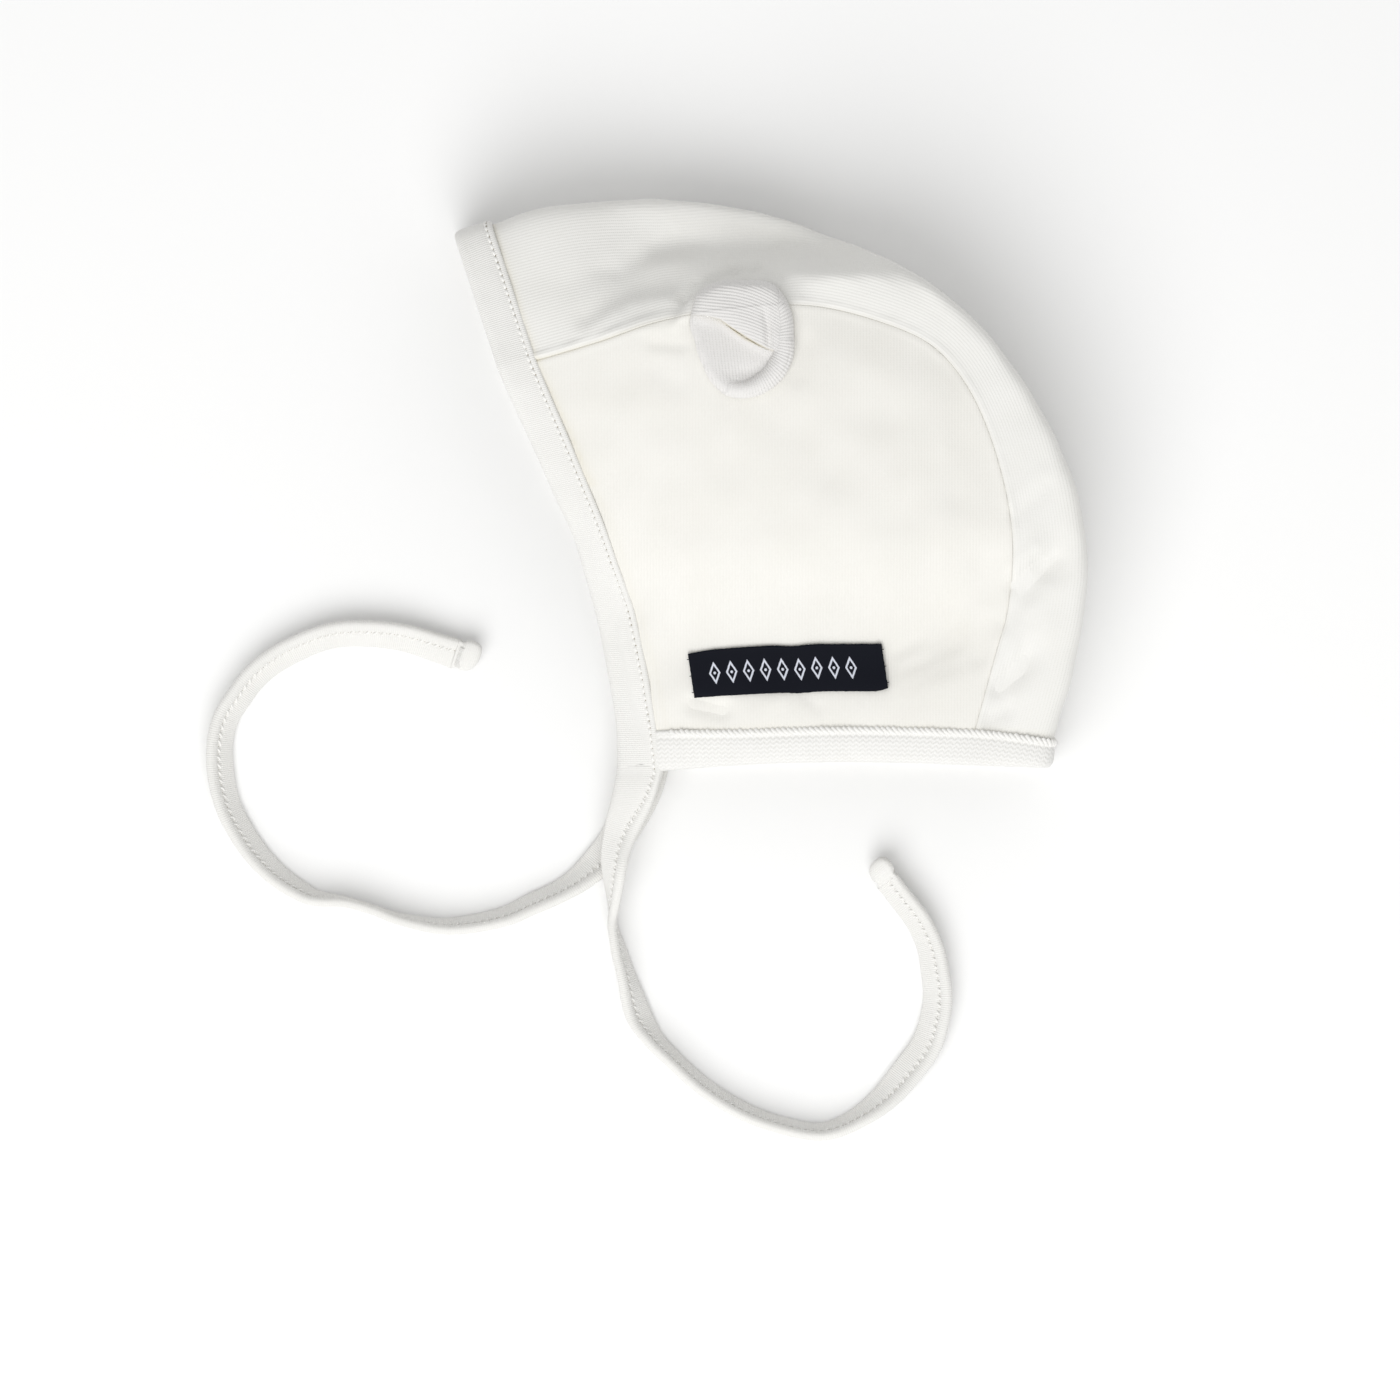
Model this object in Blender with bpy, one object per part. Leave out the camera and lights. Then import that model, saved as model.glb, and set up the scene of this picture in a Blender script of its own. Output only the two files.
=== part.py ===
"""A baby bonnet with two round ears, lying on its side with its two ties laid out in loops.

X runs from the face opening to the back of the head, Y from the neck edge to the top of the head,
and Z up from the surface that the bonnet lies on. The origin is on that surface, under the middle
of the bonnet without its ties. All lengths are in metres.
"""

import math

import bmesh
import bpy
import numpy as np
from mathutils import Vector
from mathutils.bvhtree import BVHTree

# Overall size of the bonnet as it lies.
hat_length = 0.1708
hat_height = 0.1544
hat_depth = 0.0520

# Cloth walls, and the gap that is left between pieces that are sewn together.
panel_wall = 0.0012
binding_wall = 0.0010
seam_gap = 0.0003

# Bindings: how far each leg reaches over the cloth, and how much its folded edge is rounded.
face_binding_width = 0.0108
neck_binding_width = 0.0098
binding_round = 0.0007

# How far the near side panel swells above a sheet stretched over its own edges.
side_swell = 0.0075

# Ears.
ear_width = 0.0285
ear_length = 0.0315
ear_thickness = 0.0062
far_ear_thickness = 0.0045

# Woven label.
label_width = 0.0524
label_height = 0.0120
label_wall = 0.0010

# Ties: a folded band, and the doubled end that is tacked together.
tie_width = 0.0090
tie_thickness = 0.0022
tie_root_width = 0.0104
tip_length = 0.0056
tip_thickness = 0.0042
tip_width = 0.0092

# Soft folds: the deepest and the widest of the table below.
fold_depth = 0.0024
fold_width = 0.0090

# Mesh density.
cells_per_row = 3
cells_around = 14
leg_cells = 2
leg_rows = 6
ear_spokes = 28
label_cells = (14, 3)
tie_stations = 44

# The centre panel, a row for each section from the forehead to the nape: where the side seam and
# the crown line pass as shares of hat_length and hat_height, and the seam's rise as a share of
# hat_depth.
# seam along, seam up, crown along, crown up, seam rise
centre_sections = [
    (0.073, 0.700, 0.000, 0.945, 0.76),
    (0.145, 0.721, 0.071, 0.968, 0.80),
    (0.237, 0.751, 0.177, 0.990, 0.88),
    (0.335, 0.786, 0.319, 1.000, 0.94),
    (0.458, 0.807, 0.462, 0.982, 0.98),
    (0.572, 0.810, 0.580, 0.942, 1.00),
    (0.683, 0.779, 0.715, 0.877, 1.00),
    (0.762, 0.735, 0.825, 0.784, 0.99),
    (0.821, 0.649, 0.912, 0.658, 0.97),
    (0.863, 0.525, 0.975, 0.516, 0.94),
    (0.882, 0.398, 1.000, 0.389, 0.90),
    (0.874, 0.284, 0.996, 0.280, 0.85),
    (0.847, 0.170, 0.974, 0.151, 0.79),
    (0.808, 0.013, 0.947, 0.008, 0.70),
]

# The row of that table at which the side panel's top edge turns into its back edge.
corner_row = 7

# The near side panel's face edge, from the chin corner up to the side seam.
# along, up, rise
face_edge = [
    (0.261, 0.000, 0.23),
    (0.260, 0.083, 0.26),
    (0.248, 0.163, 0.32),
    (0.231, 0.258, 0.41),
    (0.2115, 0.337, 0.49),
    (0.192, 0.410, 0.56),
    (0.159, 0.489, 0.64),
    (0.1265, 0.569, 0.70),
    (0.093, 0.649, 0.745),
    (0.073, 0.700, 0.76),
]

# The near side panel's neck edge, from the chin corner back to the side seam.
# along, up, rise
neck_edge = [
    (0.261, 0.000, 0.23),
    (0.3225, 0.002, 0.31),
    (0.454, 0.013, 0.43),
    (0.585, 0.018, 0.53),
    (0.716, 0.017, 0.62),
    (0.808, 0.013, 0.70),
]

# Soft folds and dents of the upper side, as shares of hat_length, hat_height, fold_depth and
# fold_width.
# from along, from up, to along, to up, depth, width
folds = [
    (0.217, 0.795, 0.391, 0.905, 0.90, 1.00),
    (0.391, 0.905, 0.600, 0.905, 1.00, 1.00),
    (0.600, 0.880, 0.720, 0.830, 0.45, 0.80),
    (0.300, 0.330, 0.485, 0.235, 0.35, 1.00),
    (0.485, 0.235, 0.840, 0.350, 0.35, 1.00),
    (0.580, 0.560, 0.665, 0.620, 0.30, 0.90),
    (0.790, 0.500, 0.835, 0.640, 0.35, 0.80),
    (0.895, 0.318, 0.955, 0.372, 0.80, 0.45),
    (0.875, 0.150, 0.935, 0.215, 0.60, 0.50),
]

# The ear's place and its outline: reach as a share of half its width and half its length.
ear_centre = (0.4585, 0.758)
# angle in degrees from +X, reach
ear_outline = [
    (6, 0.96),
    (38, 1.06),
    (58, 1.12),
    (88, 1.02),
    (120, 1.13),
    (137, 1.19),
    (150, 1.10),
    (165, 1.04),
    (182, 0.90),
    (209, 0.87),
    (236, 0.95),
    (251, 1.00),
    (272, 1.00),
    (297, 0.99),
    (322, 1.00),
    (350, 0.98),
]

# The ear's section from its middle to its rim: its lower and its upper side as shares of its
# thickness.
# reach, lower side, upper side
ear_section = [
    (0.00, 0.00, 0.60),
    (0.38, 0.00, 0.60),
    (0.62, 0.00, 0.74),
    (0.80, 0.00, 1.00),
    (0.93, 0.10, 0.88),
    (1.00, 0.45, 0.45),
]

# The cloth over the trapped far ear is lifted fully inside the first of these shares of the ear's
# reach and not at all past the second. The ear is flat on the surface inside the third.
far_lift_full = 0.80
far_lift_none = 1.47
far_ear_flat = 0.80

# The crease across the ear, between two points given as shares of half its width and length.
ear_crease = ((-0.95, 0.43), (0.50, -0.14))
ear_crease_depth = 0.0016
ear_crease_width = 0.0022

# The label's middle as shares of hat_length and hat_height, and its turn.
label_centre = (0.529, 0.177)
label_turn = math.radians(2.7)

# The ties' routes, from the chin corners to their ends. Clear is the height of the band's lower
# side above the surface. Tilt is the turn of the band about its own line: at 0 it lies flat with
# its stitched edge on the loop's outer side, and at 90 degrees it stands with that edge up.
# x, y, clear in millimetres, tilt in degrees
near_tie_route = [
    (-35.1, -77.55, 11.4, 180),
    (-36.9, -84.7, 11.0, 174),
    (-39.6, -91.7, 10.0, 161),
    (-41.4, -98.2, 8.9, 146),
    (-42.1, -103.6, 7.8, 132),
    (-42.4, -109.2, 4.6, 114),
    (-42.5, -114.1, 1.4, 97),
    (-42.3, -118.7, 0.2, 86),
    (-40.5, -126.0, 0.0, 72),
    (-38.6, -132.5, 0.0, 66),
    (-35.6, -142.6, 0.0, 46),
    (-31.5, -149.4, 0.0, 60),
    (-26.5, -154.6, 0.0, 66),
    (-18.2, -162.2, 0.0, 67),
    (-8.5, -168.4, 0.0, 67),
    (0.7, -172.2, 0.0, 69),
    (11.2, -174.6, 0.0, 69),
    (17.8, -174.0, 0.0, 66),
    (25.3, -170.3, 0.0, 58),
    (31.8, -165.2, 0.0, 42),
    (37.4, -158.7, 0.0, 28),
    (42.4, -151.9, 0.0, 26),
    (44.7, -145.4, 0.0, 32),
    (45.8, -138.4, 0.0, 36),
    (45.0, -131.1, 0.0, 38),
    (43.6, -124.4, 0.0, 40),
    (40.4, -117.6, 0.0, 36),
    (36.1, -111.9, 0.0, 28),
    (32.0, -106.6, 0.0, 22),
]

far_tie_route = [
    (-35.2, -77.55, 0.8, 0),
    (-36.7, -84.9, 0.2, 3),
    (-39.4, -91.8, 0.0, 6),
    (-43.5, -98.5, 0.0, 10),
    (-49.9, -105.0, 0.0, 40),
    (-56.3, -109.4, 0.0, 55),
    (-64.6, -113.2, 0.0, 58),
    (-72.7, -116.7, 0.0, 64),
    (-86.8, -119.0, 0.0, 70),
    (-99.7, -117.1, 0.0, 80),
    (-107.0, -114.6, 0.0, 85),
    (-115.0, -112.3, 0.0, 83),
    (-121.9, -111.5, 0.0, 73),
    (-126.2, -110.0, 0.0, 64),
    (-133.5, -105.2, 0.0, 56),
    (-139.4, -99.0, 0.0, 50),
    (-143.5, -92.8, 0.0, 48),
    (-146.7, -86.3, 0.0, 48),
    (-148.6, -78.2, 0.0, 44),
    (-148.9, -69.8, 0.0, 47),
    (-147.3, -62.8, 0.0, 48),
    (-144.0, -57.4, 0.0, 48),
    (-139.2, -51.2, 0.0, 48),
    (-132.1, -45.8, 0.0, 46),
    (-121.1, -40.9, 0.0, 47),
    (-111.6, -39.6, 0.0, 45),
    (-99.7, -40.7, 0.0, 42),
    (-88.9, -43.9, 0.0, 34),
    (-84.6, -45.3, 0.0, 28),
]

millimetre = 0.001

# Colours, linear.
jersey_colour = (0.88, 0.87, 0.82)
binding_colour = (0.86, 0.85, 0.80)
label_colour = (0.010, 0.012, 0.020)

# Half the cloth, and the cloth with its gap: the distances of a binding's leg from the mid-surface.
half_wall = panel_wall / 2
leg_inside = half_wall + seam_gap
leg_outside = leg_inside + binding_wall
edge_inset = binding_wall + seam_gap


def along(share):
    """X of a share of the length."""
    return (share - 0.5) * hat_length


def up(share):
    """Y of a share of the height."""
    return (share - 0.5) * hat_height


def rise(share):
    """Z of a share of the depth, for the middle of the cloth."""
    return half_wall + share * (hat_depth - panel_wall)


def smooth_step(value):
    value = np.clip(value, 0.0, 1.0)
    return value * value * (3 - 2 * value)


def smooth_curve(rows, steps):
    """A smooth curve through the rows, with a number of steps between each two."""
    rows = np.asarray(rows, float)
    guides = np.vstack([2 * rows[0] - rows[1], rows, 2 * rows[-1] - rows[-2]])
    points = []
    for k in range(len(rows) - 1):
        before, start, end, after = guides[k:k + 4]
        for t in np.arange(steps) / steps:
            square = 2 * before - 5 * start + 4 * end - after
            cube = 3 * (start - end) + after - before
            points.append(0.5 * (2 * start + (end - before) * t + square * t ** 2 + cube * t ** 3))
    points.append(rows[-1])
    return np.array(points)


def evenly(points, count):
    """The same curve in points that lie evenly along it."""
    lengths = np.linalg.norm(np.diff(points, axis=0), axis=1)
    distance = np.concatenate([[0.0], np.cumsum(lengths)])
    wanted = np.linspace(0.0, distance[-1], count)
    return np.column_stack([np.interp(wanted, distance, column) for column in points.T])


def edge_curve(rows, count):
    """An edge of the side panel in metres, evenly spaced."""
    curve = smooth_curve(rows, 8)
    curve = np.column_stack([along(curve[:, 0]), up(curve[:, 1]), rise(curve[:, 2])])
    return evenly(curve, count)


def relaxed(grid, push=0.0, rounds=900):
    """The grid with each inner point drawn to the middle of its neighbours, then pushed."""
    grid = grid.copy()
    for _ in range(rounds):
        across = grid[2:, 1:-1] + grid[:-2, 1:-1]
        over = grid[1:-1, 2:] + grid[1:-1, :-2]
        grid[1:-1, 1:-1] = (across + over) / 4 + push
    return grid


def distance_to_curve(x, y, curve):
    """Plan distance of each point to the nearest point of a curve."""
    apart_x = np.asarray(x)[..., None] - curve[:, 0]
    apart_y = np.asarray(y)[..., None] - curve[:, 1]
    return np.sqrt(apart_x ** 2 + apart_y ** 2).min(axis=-1)


def ear_reach(angle):
    """The ear outline's reach at an angle in radians, as a share of its half sizes."""
    angles = [row[0] for row in ear_outline]
    reaches = [row[1] for row in ear_outline]
    return np.interp(np.degrees(angle) % 360, angles, reaches, period=360)


def ear_share(x, y):
    """Where a point lies from the ear's middle (0) through its rim (1) outwards."""
    side = (x - along(ear_centre[0])) / (ear_width / 2)
    height = (y - up(ear_centre[1])) / (ear_length / 2)
    return np.hypot(side, height) / ear_reach(np.arctan2(height, side))


def fold_drop(x, y):
    """How far the folds lower the cloth at a point."""
    drop = np.zeros_like(x)
    for from_along, from_up, to_along, to_up, depth, width in folds:
        start = np.array([along(from_along), up(from_up)])
        run = np.array([along(to_along), up(to_up)]) - start
        share = ((x - start[0]) * run[0] + (y - start[1]) * run[1]) / (run @ run)
        nearest = np.clip(share, 0.0, 1.0)
        apart = np.hypot(x - start[0] - nearest * run[0], y - start[1] - nearest * run[1])
        valley = fold_depth * depth * np.exp(-(apart / (fold_width * width)) ** 2)
        drop = np.maximum(drop, valley)
    return drop


class Skin:
    """The middle of the cloth as three grids that share their seams: near side, centre and far side.

    A side grid runs from the face edge to the back in its first index, and from the neck edge to
    the top in its second. The centre grid runs from the forehead to the nape in its first index,
    and from the near seam round the crown to the far seam in its second.
    """

    def __init__(self):
        table = smooth_curve(centre_sections, cells_per_row)
        self.seam = np.column_stack([along(table[:, 0]), up(table[:, 1]), rise(table[:, 4])])
        outline = np.column_stack([along(table[:, 2]), up(table[:, 3])])
        self.ends = outline[[0, -1]]
        self.corner = corner_row * cells_per_row
        self.back_cells = len(self.seam) - 1 - self.corner
        self.face = edge_curve(face_edge, self.back_cells + 1)
        self.neck = edge_curve(neck_edge, self.corner + 1)
        reach = outline - self.seam[:, :2]
        under = half_wall + self.under_binding(outline[:, 0], outline[:, 1])
        self.crown = outline - unit(reach) * under[:, None]
        self.near = self.near_side()
        self.far = self.far_side()
        self.centre = self.centre_strip()
        self.near[..., 2] -= fold_drop(self.near[..., 0], self.near[..., 1])
        upper = smooth_step(np.cos(np.linspace(0, math.pi, cells_around + 1)) * 2)
        drop = fold_drop(self.centre[..., 0], self.centre[..., 1])
        self.centre[..., 2] -= drop * upper
        self.share_seams()
        self.near_normals, self.centre_normals, self.far_normals = self.normals()

    def near_side(self):
        across = np.linspace(0, 1, self.corner + 1)[:, None, None]
        over = np.linspace(0, 1, self.back_cells + 1)[None, :, None]
        top = self.seam[:self.corner + 1]
        back = self.seam[self.corner:][::-1]
        corners = (1 - across) * ((1 - over) * self.neck[0] + over * top[0])
        corners = corners + across * ((1 - over) * self.neck[-1] + over * top[-1])
        grid = (1 - over) * self.neck[:, None] + over * top[:, None] - corners
        grid = grid + (1 - across) * self.face[None] + across * back[None]
        grid = relaxed(grid)
        dome = relaxed(np.zeros(grid.shape[:2]), push=1.0)
        grid[..., 2] += side_swell * dome / dome.max()
        return grid

    def under_binding(self, x, y):
        """How far the cloth lies inside the outline, so that the bindings' legs reach the outline."""
        shares = np.linspace(0, 1, 12)[:, None]
        front = self.seam[0, :2] + shares * (self.ends[0] - self.seam[0, :2])
        nape = self.seam[-1, :2] + shares * (self.ends[1] - self.seam[-1, :2])
        sides = [smooth_curve(edge[:, :2], 3) for edge in (self.face, self.neck)]
        width = max(face_binding_width, neck_binding_width)
        inside = distance_to_curve(x, y, np.vstack([*sides, front, nape])) - width - 2 * seam_gap
        return (leg_outside - half_wall) * (1 - smooth_step(inside / width))

    def far_lift(self, x, y):
        """How far the lower cloth lies above the surface, over the bindings and over the ear."""
        fade = (ear_share(x, y) - far_lift_full) / (far_lift_none - far_lift_full)
        over_ear = (far_ear_thickness + 3 * seam_gap) * (1 - smooth_step(fade))
        return np.maximum(self.under_binding(x, y), over_ear)

    def far_side(self):
        grid = self.near.copy()
        grid[..., 2] = half_wall + self.far_lift(grid[..., 0], grid[..., 1])
        return grid

    def centre_strip(self):
        turn = np.linspace(0, math.pi, cells_around + 1)
        low = half_wall + self.far_lift(self.seam[:, 0], self.seam[:, 1])
        middle = (self.seam[:, 2] + low) / 2
        half = (self.seam[:, 2] - low) / 2
        reach = self.crown - self.seam[:, :2]
        plan = self.seam[:, None, :2] + np.sin(turn)[None, :, None] * reach[:, None]
        height = middle[:, None] + half[:, None] * np.cos(turn)[None]
        return np.dstack([plan, height])

    def share_seams(self):
        """Gives both sides of each seam the same points."""
        for side, line in ((self.near, 0), (self.far, cells_around)):
            self.centre[:self.corner + 1, line] = side[:, -1]
            self.centre[self.corner:, line] = side[-1, ::-1]

    def normals(self):
        """Outward directions at the points of each grid, shared along the seams."""
        found = []
        for grid, sign in ((self.near, 1), (self.centre, 1), (self.far, -1)):
            first = grid[1:, 1:] - grid[:-1, :-1]
            second = grid[:-1, 1:] - grid[1:, :-1]
            cell = np.cross(first, second) * sign
            total = np.zeros_like(grid)
            total[:-1, :-1] += cell
            total[1:, :-1] += cell
            total[:-1, 1:] += cell
            total[1:, 1:] += cell
            found.append(total)
        near, centre, far = found
        for side, line in ((near, 0), (far, cells_around)):
            both = centre[:, line].copy()
            both[:self.corner + 1] += side[:, -1]
            both[self.corner + 1:] += side[-1, ::-1][1:]
            centre[:, line] = both
            side[:, -1] = both[:self.corner + 1]
            side[-1, ::-1] = both[self.corner:]
        return [total / np.linalg.norm(total, axis=-1, keepdims=True) for total in (near, centre, far)]


def unit(vectors):
    return vectors / np.linalg.norm(vectors, axis=-1, keepdims=True)


def drawn_in(points, normals, line, inner, distance):
    """Moves one border line of a grid inwards along the cloth by a distance."""
    border = points[line]
    tangent = unit(np.gradient(border, axis=0))
    inward = unit(np.cross(normals[line], tangent))
    towards = points[inner] - border
    inward = inward * np.sign((inward * towards).sum(axis=-1, keepdims=True))
    return inward * distance


def panel_points(grid, normals, edges):
    """The grid with its borders drawn in: edges gives each border line, its inner line and how far."""
    moved = grid.copy()
    for line, inner, distance in edges:
        moved[line] += drawn_in(grid, normals, line, inner, distance)
    return moved


def fabric(name, colour, roughness):
    material = bpy.data.materials.new(name)
    material.use_nodes = True
    shader = material.node_tree.nodes["Principled BSDF"]
    shader.inputs["Base Color"].default_value = (*colour, 1.0)
    shader.inputs["Roughness"].default_value = roughness
    shader.inputs["Metallic"].default_value = 0.0
    shader.inputs["Sheen Weight"].default_value = 0.2
    return material


def finished(name, body, material):
    """Makes an object of a bmesh, with its faces turned outwards and shaded smooth."""
    bmesh.ops.recalc_face_normals(body, faces=body.faces)
    mesh = bpy.data.meshes.new(name)
    body.to_mesh(mesh)
    body.free()
    mesh.materials.append(material)
    mesh.shade_smooth()
    piece = bpy.data.objects.new(name, mesh)
    bpy.context.scene.collection.objects.link(piece)
    return piece


def cloth_slab(name, outer, inner, material):
    """A closed wall between two grids of points."""
    body = bmesh.new()
    sides = []
    for grid in (outer, inner):
        sides.append([[body.verts.new(point) for point in column] for column in grid])
    columns, rows = outer.shape[:2]
    for grid in sides:
        for i in range(columns - 1):
            for j in range(rows - 1):
                body.faces.new((grid[i][j], grid[i + 1][j], grid[i + 1][j + 1], grid[i][j + 1]))
    top, bottom = sides
    rim = [(i, 0) for i in range(columns)]
    rim += [(columns - 1, j) for j in range(1, rows)]
    rim += [(i, rows - 1) for i in range(columns - 2, -1, -1)]
    rim += [(0, j) for j in range(rows - 2, 0, -1)]
    for (i, j), (k, m) in zip(rim, rim[1:] + rim[:1]):
        body.faces.new((top[i][j], top[k][m], bottom[k][m], bottom[i][j]))
    return finished(name, body, material)


def swept(name, sections, cap_cells, material):
    """A closed body through a list of ring sections, with each end closed by the given cells."""
    body = bmesh.new()
    rings = [[body.verts.new(point) for point in section] for section in sections]
    for before, after in zip(rings, rings[1:]):
        for k in range(len(before)):
            step = (k + 1) % len(before)
            body.faces.new((before[k], before[step], after[step], after[k]))
    for ring in (rings[0], rings[-1]):
        for cell in cap_cells:
            body.faces.new([ring[k] for k in cell])
    return finished(name, body, material)


class Inward:
    """A line of the cloth that runs inwards from an open edge, with the edge's direction there."""

    def __init__(self, points, normals, tangent):
        self.points = points
        self.normals = normals
        steps = np.diff(points, axis=0)
        lengths = np.linalg.norm(steps, axis=1)
        slant = np.linalg.norm(np.cross(unit(steps[0]), tangent))
        self.reach = np.concatenate([[0.0], np.cumsum(lengths)]) * slant

    def at(self, distance, offset):
        """The point at a distance square to the edge, and an offset outwards from the mid-surface."""
        point = [np.interp(distance, self.reach, column) for column in self.points.T]
        normal = unit(np.array([np.interp(distance, self.reach, column) for column in self.normals.T]))
        return np.array(point) + normal * offset


def inward_lines(points, normals):
    """The inward lines of a border: the first index runs along the border, the second inwards."""
    tangents = unit(np.gradient(points[:, 0], axis=0))
    return [Inward(line, turned, tangent) for line, turned, tangent in zip(points, normals, tangents)]


def binding_section(line, width):
    """A U-shaped ring over the edge: its outer faces from leg to leg, then its inner faces back."""
    depths = np.linspace(width, 0.0, leg_cells + 1)[:-1]
    outer = [(depth, leg_outside) for depth in depths]
    outer += [(binding_round, leg_outside), (0.0, leg_outside - binding_round)]
    inner = [(depth, leg_inside) for depth in depths] + [(binding_wall, leg_inside)]
    ring = outer + [(depth, -offset) for depth, offset in reversed(outer)]
    ring += [(depth, -offset) for depth, offset in inner]
    ring += [(depth, offset) for depth, offset in reversed(inner)]
    return [line.at(depth, offset) for depth, offset in ring]


def binding_caps():
    """The cells that close a binding's cut end, between its outer and its inner faces."""
    outside = leg_cells + 2
    inside = leg_cells + 1
    total = 2 * (outside + inside)

    def outer(k, far):
        return 2 * outside - 1 - k if far else k

    def inner(k, far):
        return 2 * outside + k if far else total - 1 - k

    cells = []
    for far in (False, True):
        for k in range(leg_cells):
            cells.append((outer(k, far), outer(k + 1, far), inner(k + 1, far), inner(k, far)))
        cells.append((outer(leg_cells, far), outer(leg_cells + 1, far), inner(leg_cells, far)))
    last = leg_cells + 1
    cells.append((outer(last, False), outer(last, True), inner(leg_cells, True), inner(leg_cells, False)))
    return cells


def make_panels(skin, jersey):
    half_gap = seam_gap / 2
    side_edges = [
        (np.s_[:, 0], np.s_[:, 1], edge_inset),
        (np.s_[0, :], np.s_[1, :], edge_inset),
        (np.s_[:, -1], np.s_[:, -2], half_gap),
        (np.s_[-1, :], np.s_[-2, :], half_gap),
    ]
    centre_edges = [
        (np.s_[0, :], np.s_[1, :], edge_inset),
        (np.s_[-1, :], np.s_[-2, :], edge_inset),
        (np.s_[:, 0], np.s_[:, 1], half_gap),
        (np.s_[:, -1], np.s_[:, -2], half_gap),
    ]
    for name, grid, normals, edges in (
        ("side_panel_near", skin.near, skin.near_normals, side_edges),
        ("side_panel_far", skin.far, skin.far_normals, side_edges),
        ("centre_panel", skin.centre, skin.centre_normals, centre_edges),
    ):
        points = panel_points(grid, normals, edges)
        cloth_slab(name, points + normals * half_wall, points - normals * half_wall, jersey)


def from_face(grid):
    """The rows of a grid that start at the face edge, one for each place along it."""
    return grid.transpose(1, 0, 2)[:, :leg_rows]


def make_face_binding(skin, rib):
    """Over the face edge, from the near chin corner round the forehead to the far chin corner."""
    points, normals = [
        np.vstack([from_face(near), from_face(centre)[1:-1], from_face(far)[::-1]])
        for near, centre, far in (
            (skin.near, skin.centre, skin.far),
            (skin.near_normals, skin.centre_normals, skin.far_normals),
        )
    ]
    lines = inward_lines(points, normals)
    sections = [binding_section(line, face_binding_width) for line in lines]
    swept("face_binding", sections, binding_caps(), rib)


def front_column(grid, normals):
    """The line up the side panel just behind the face binding, where the neck binding starts."""
    lines = inward_lines(from_face(grid), from_face(normals))
    reach = face_binding_width + seam_gap
    points = np.array([line.at(reach, 0.0) for line in lines[:leg_rows]])
    raised = np.array([line.at(reach, 1.0) for line in lines[:leg_rows]])
    return points, raised - points


def make_neck_binding(skin, rib):
    """Over the neck edge, from behind the near face binding round the nape to the far side."""
    spacing = np.linalg.norm(np.diff(skin.neck, axis=0), axis=1).mean()
    first = math.ceil((face_binding_width + seam_gap) / spacing + 0.4)
    near_front = front_column(skin.near, skin.near_normals)
    far_front = front_column(skin.far, skin.far_normals)
    points, normals = [
        np.vstack([
            near_start[None],
            near[first:, :leg_rows],
            from_face(centre[::-1])[1:-1],
            far[first:, :leg_rows][::-1],
            far_start[None],
        ])
        for near_start, near, centre, far, far_start in (
            (near_front[0], skin.near, skin.centre, skin.far, far_front[0]),
            (near_front[1], skin.near_normals, skin.centre_normals, skin.far_normals, far_front[1]),
        )
    ]
    lines = inward_lines(points, normals)
    sections = [binding_section(line, neck_binding_width) for line in lines]
    swept("neck_binding", sections, binding_caps(), rib)


def skin_surface(grid, normals):
    """A grid's outer face as a tree that rays can be cast on."""
    outer = grid + normals * half_wall
    columns, rows = outer.shape[:2]
    points = [Vector(point) for point in outer.reshape(-1, 3)]
    cells = []
    for i in range(columns - 1):
        for j in range(rows - 1):
            corner = i * rows + j
            cells.append((corner, corner + rows, corner + rows + 1, corner + 1))
    return points, cells


class Outside:
    """The outer face of a side panel and the centre panel next to it, for laying pieces on it."""

    def __init__(self, grids, side):
        points, cells = [], []
        for grid, normals in grids:
            more_points, more_cells = skin_surface(grid, normals)
            cells += [[k + len(points) for k in cell] for cell in more_cells]
            points += more_points
        self.side = side
        self.tree = BVHTree.FromPolygons(points, cells)

    def height(self, x, y):
        start = Vector((x, y, self.side * 4 * hat_depth))
        hit = self.tree.ray_cast(start, Vector((0.0, 0.0, -self.side)))[0]
        return hit.z


def ear_points(spoke, reach):
    """Plan place of an ear point, from its spoke's angle and its share of the way to the rim."""
    angle = 2 * math.pi * spoke / ear_spokes
    out = reach * ear_reach(angle)
    x = along(ear_centre[0]) + out * math.cos(angle) * ear_width / 2
    y = up(ear_centre[1]) + out * math.sin(angle) * ear_length / 2
    return x, y


def ear_crease_drop(x, y):
    start = np.array([along(ear_centre[0]) + ear_crease[0][0] * ear_width / 2,
                      up(ear_centre[1]) + ear_crease[0][1] * ear_length / 2])
    end = np.array([along(ear_centre[0]) + ear_crease[1][0] * ear_width / 2,
                    up(ear_centre[1]) + ear_crease[1][1] * ear_length / 2])
    run = end - start
    nearest = np.clip(((x - start[0]) * run[0] + (y - start[1]) * run[1]) / (run @ run), 0.0, 1.0)
    apart = math.hypot(x - start[0] - nearest * run[0], y - start[1] - nearest * run[1])
    return ear_crease_depth * math.exp(-(apart / ear_crease_width) ** 2)


def make_ear(name, levels, jersey):
    """An ear as rings of points: levels gives a point's lower and upper height."""
    body = bmesh.new()
    lower_rings, upper_rings = [], []
    for reach, low, high in ear_section[1:]:
        lower, upper = [], []
        for spoke in range(ear_spokes):
            x, y = ear_points(spoke, reach)
            bottom, top = levels(x, y, reach, low, high)
            lower.append(body.verts.new((x, y, bottom)))
            upper.append(lower[-1] if low == high else body.verts.new((x, y, top)))
        lower_rings.append(lower)
        upper_rings.append(upper)
    x, y = ear_points(0, 0.0)
    bottom, top = levels(x, y, *ear_section[0])
    for rings, height in ((lower_rings, bottom), (upper_rings, top)):
        middle = body.verts.new((x, y, height))
        for k in range(ear_spokes):
            step = (k + 1) % ear_spokes
            body.faces.new((middle, rings[0][k], rings[0][step]))
            for inside, outside in zip(rings, rings[1:]):
                body.faces.new((inside[k], inside[step], outside[step], outside[k]))
    return finished(name, body, jersey)


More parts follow.
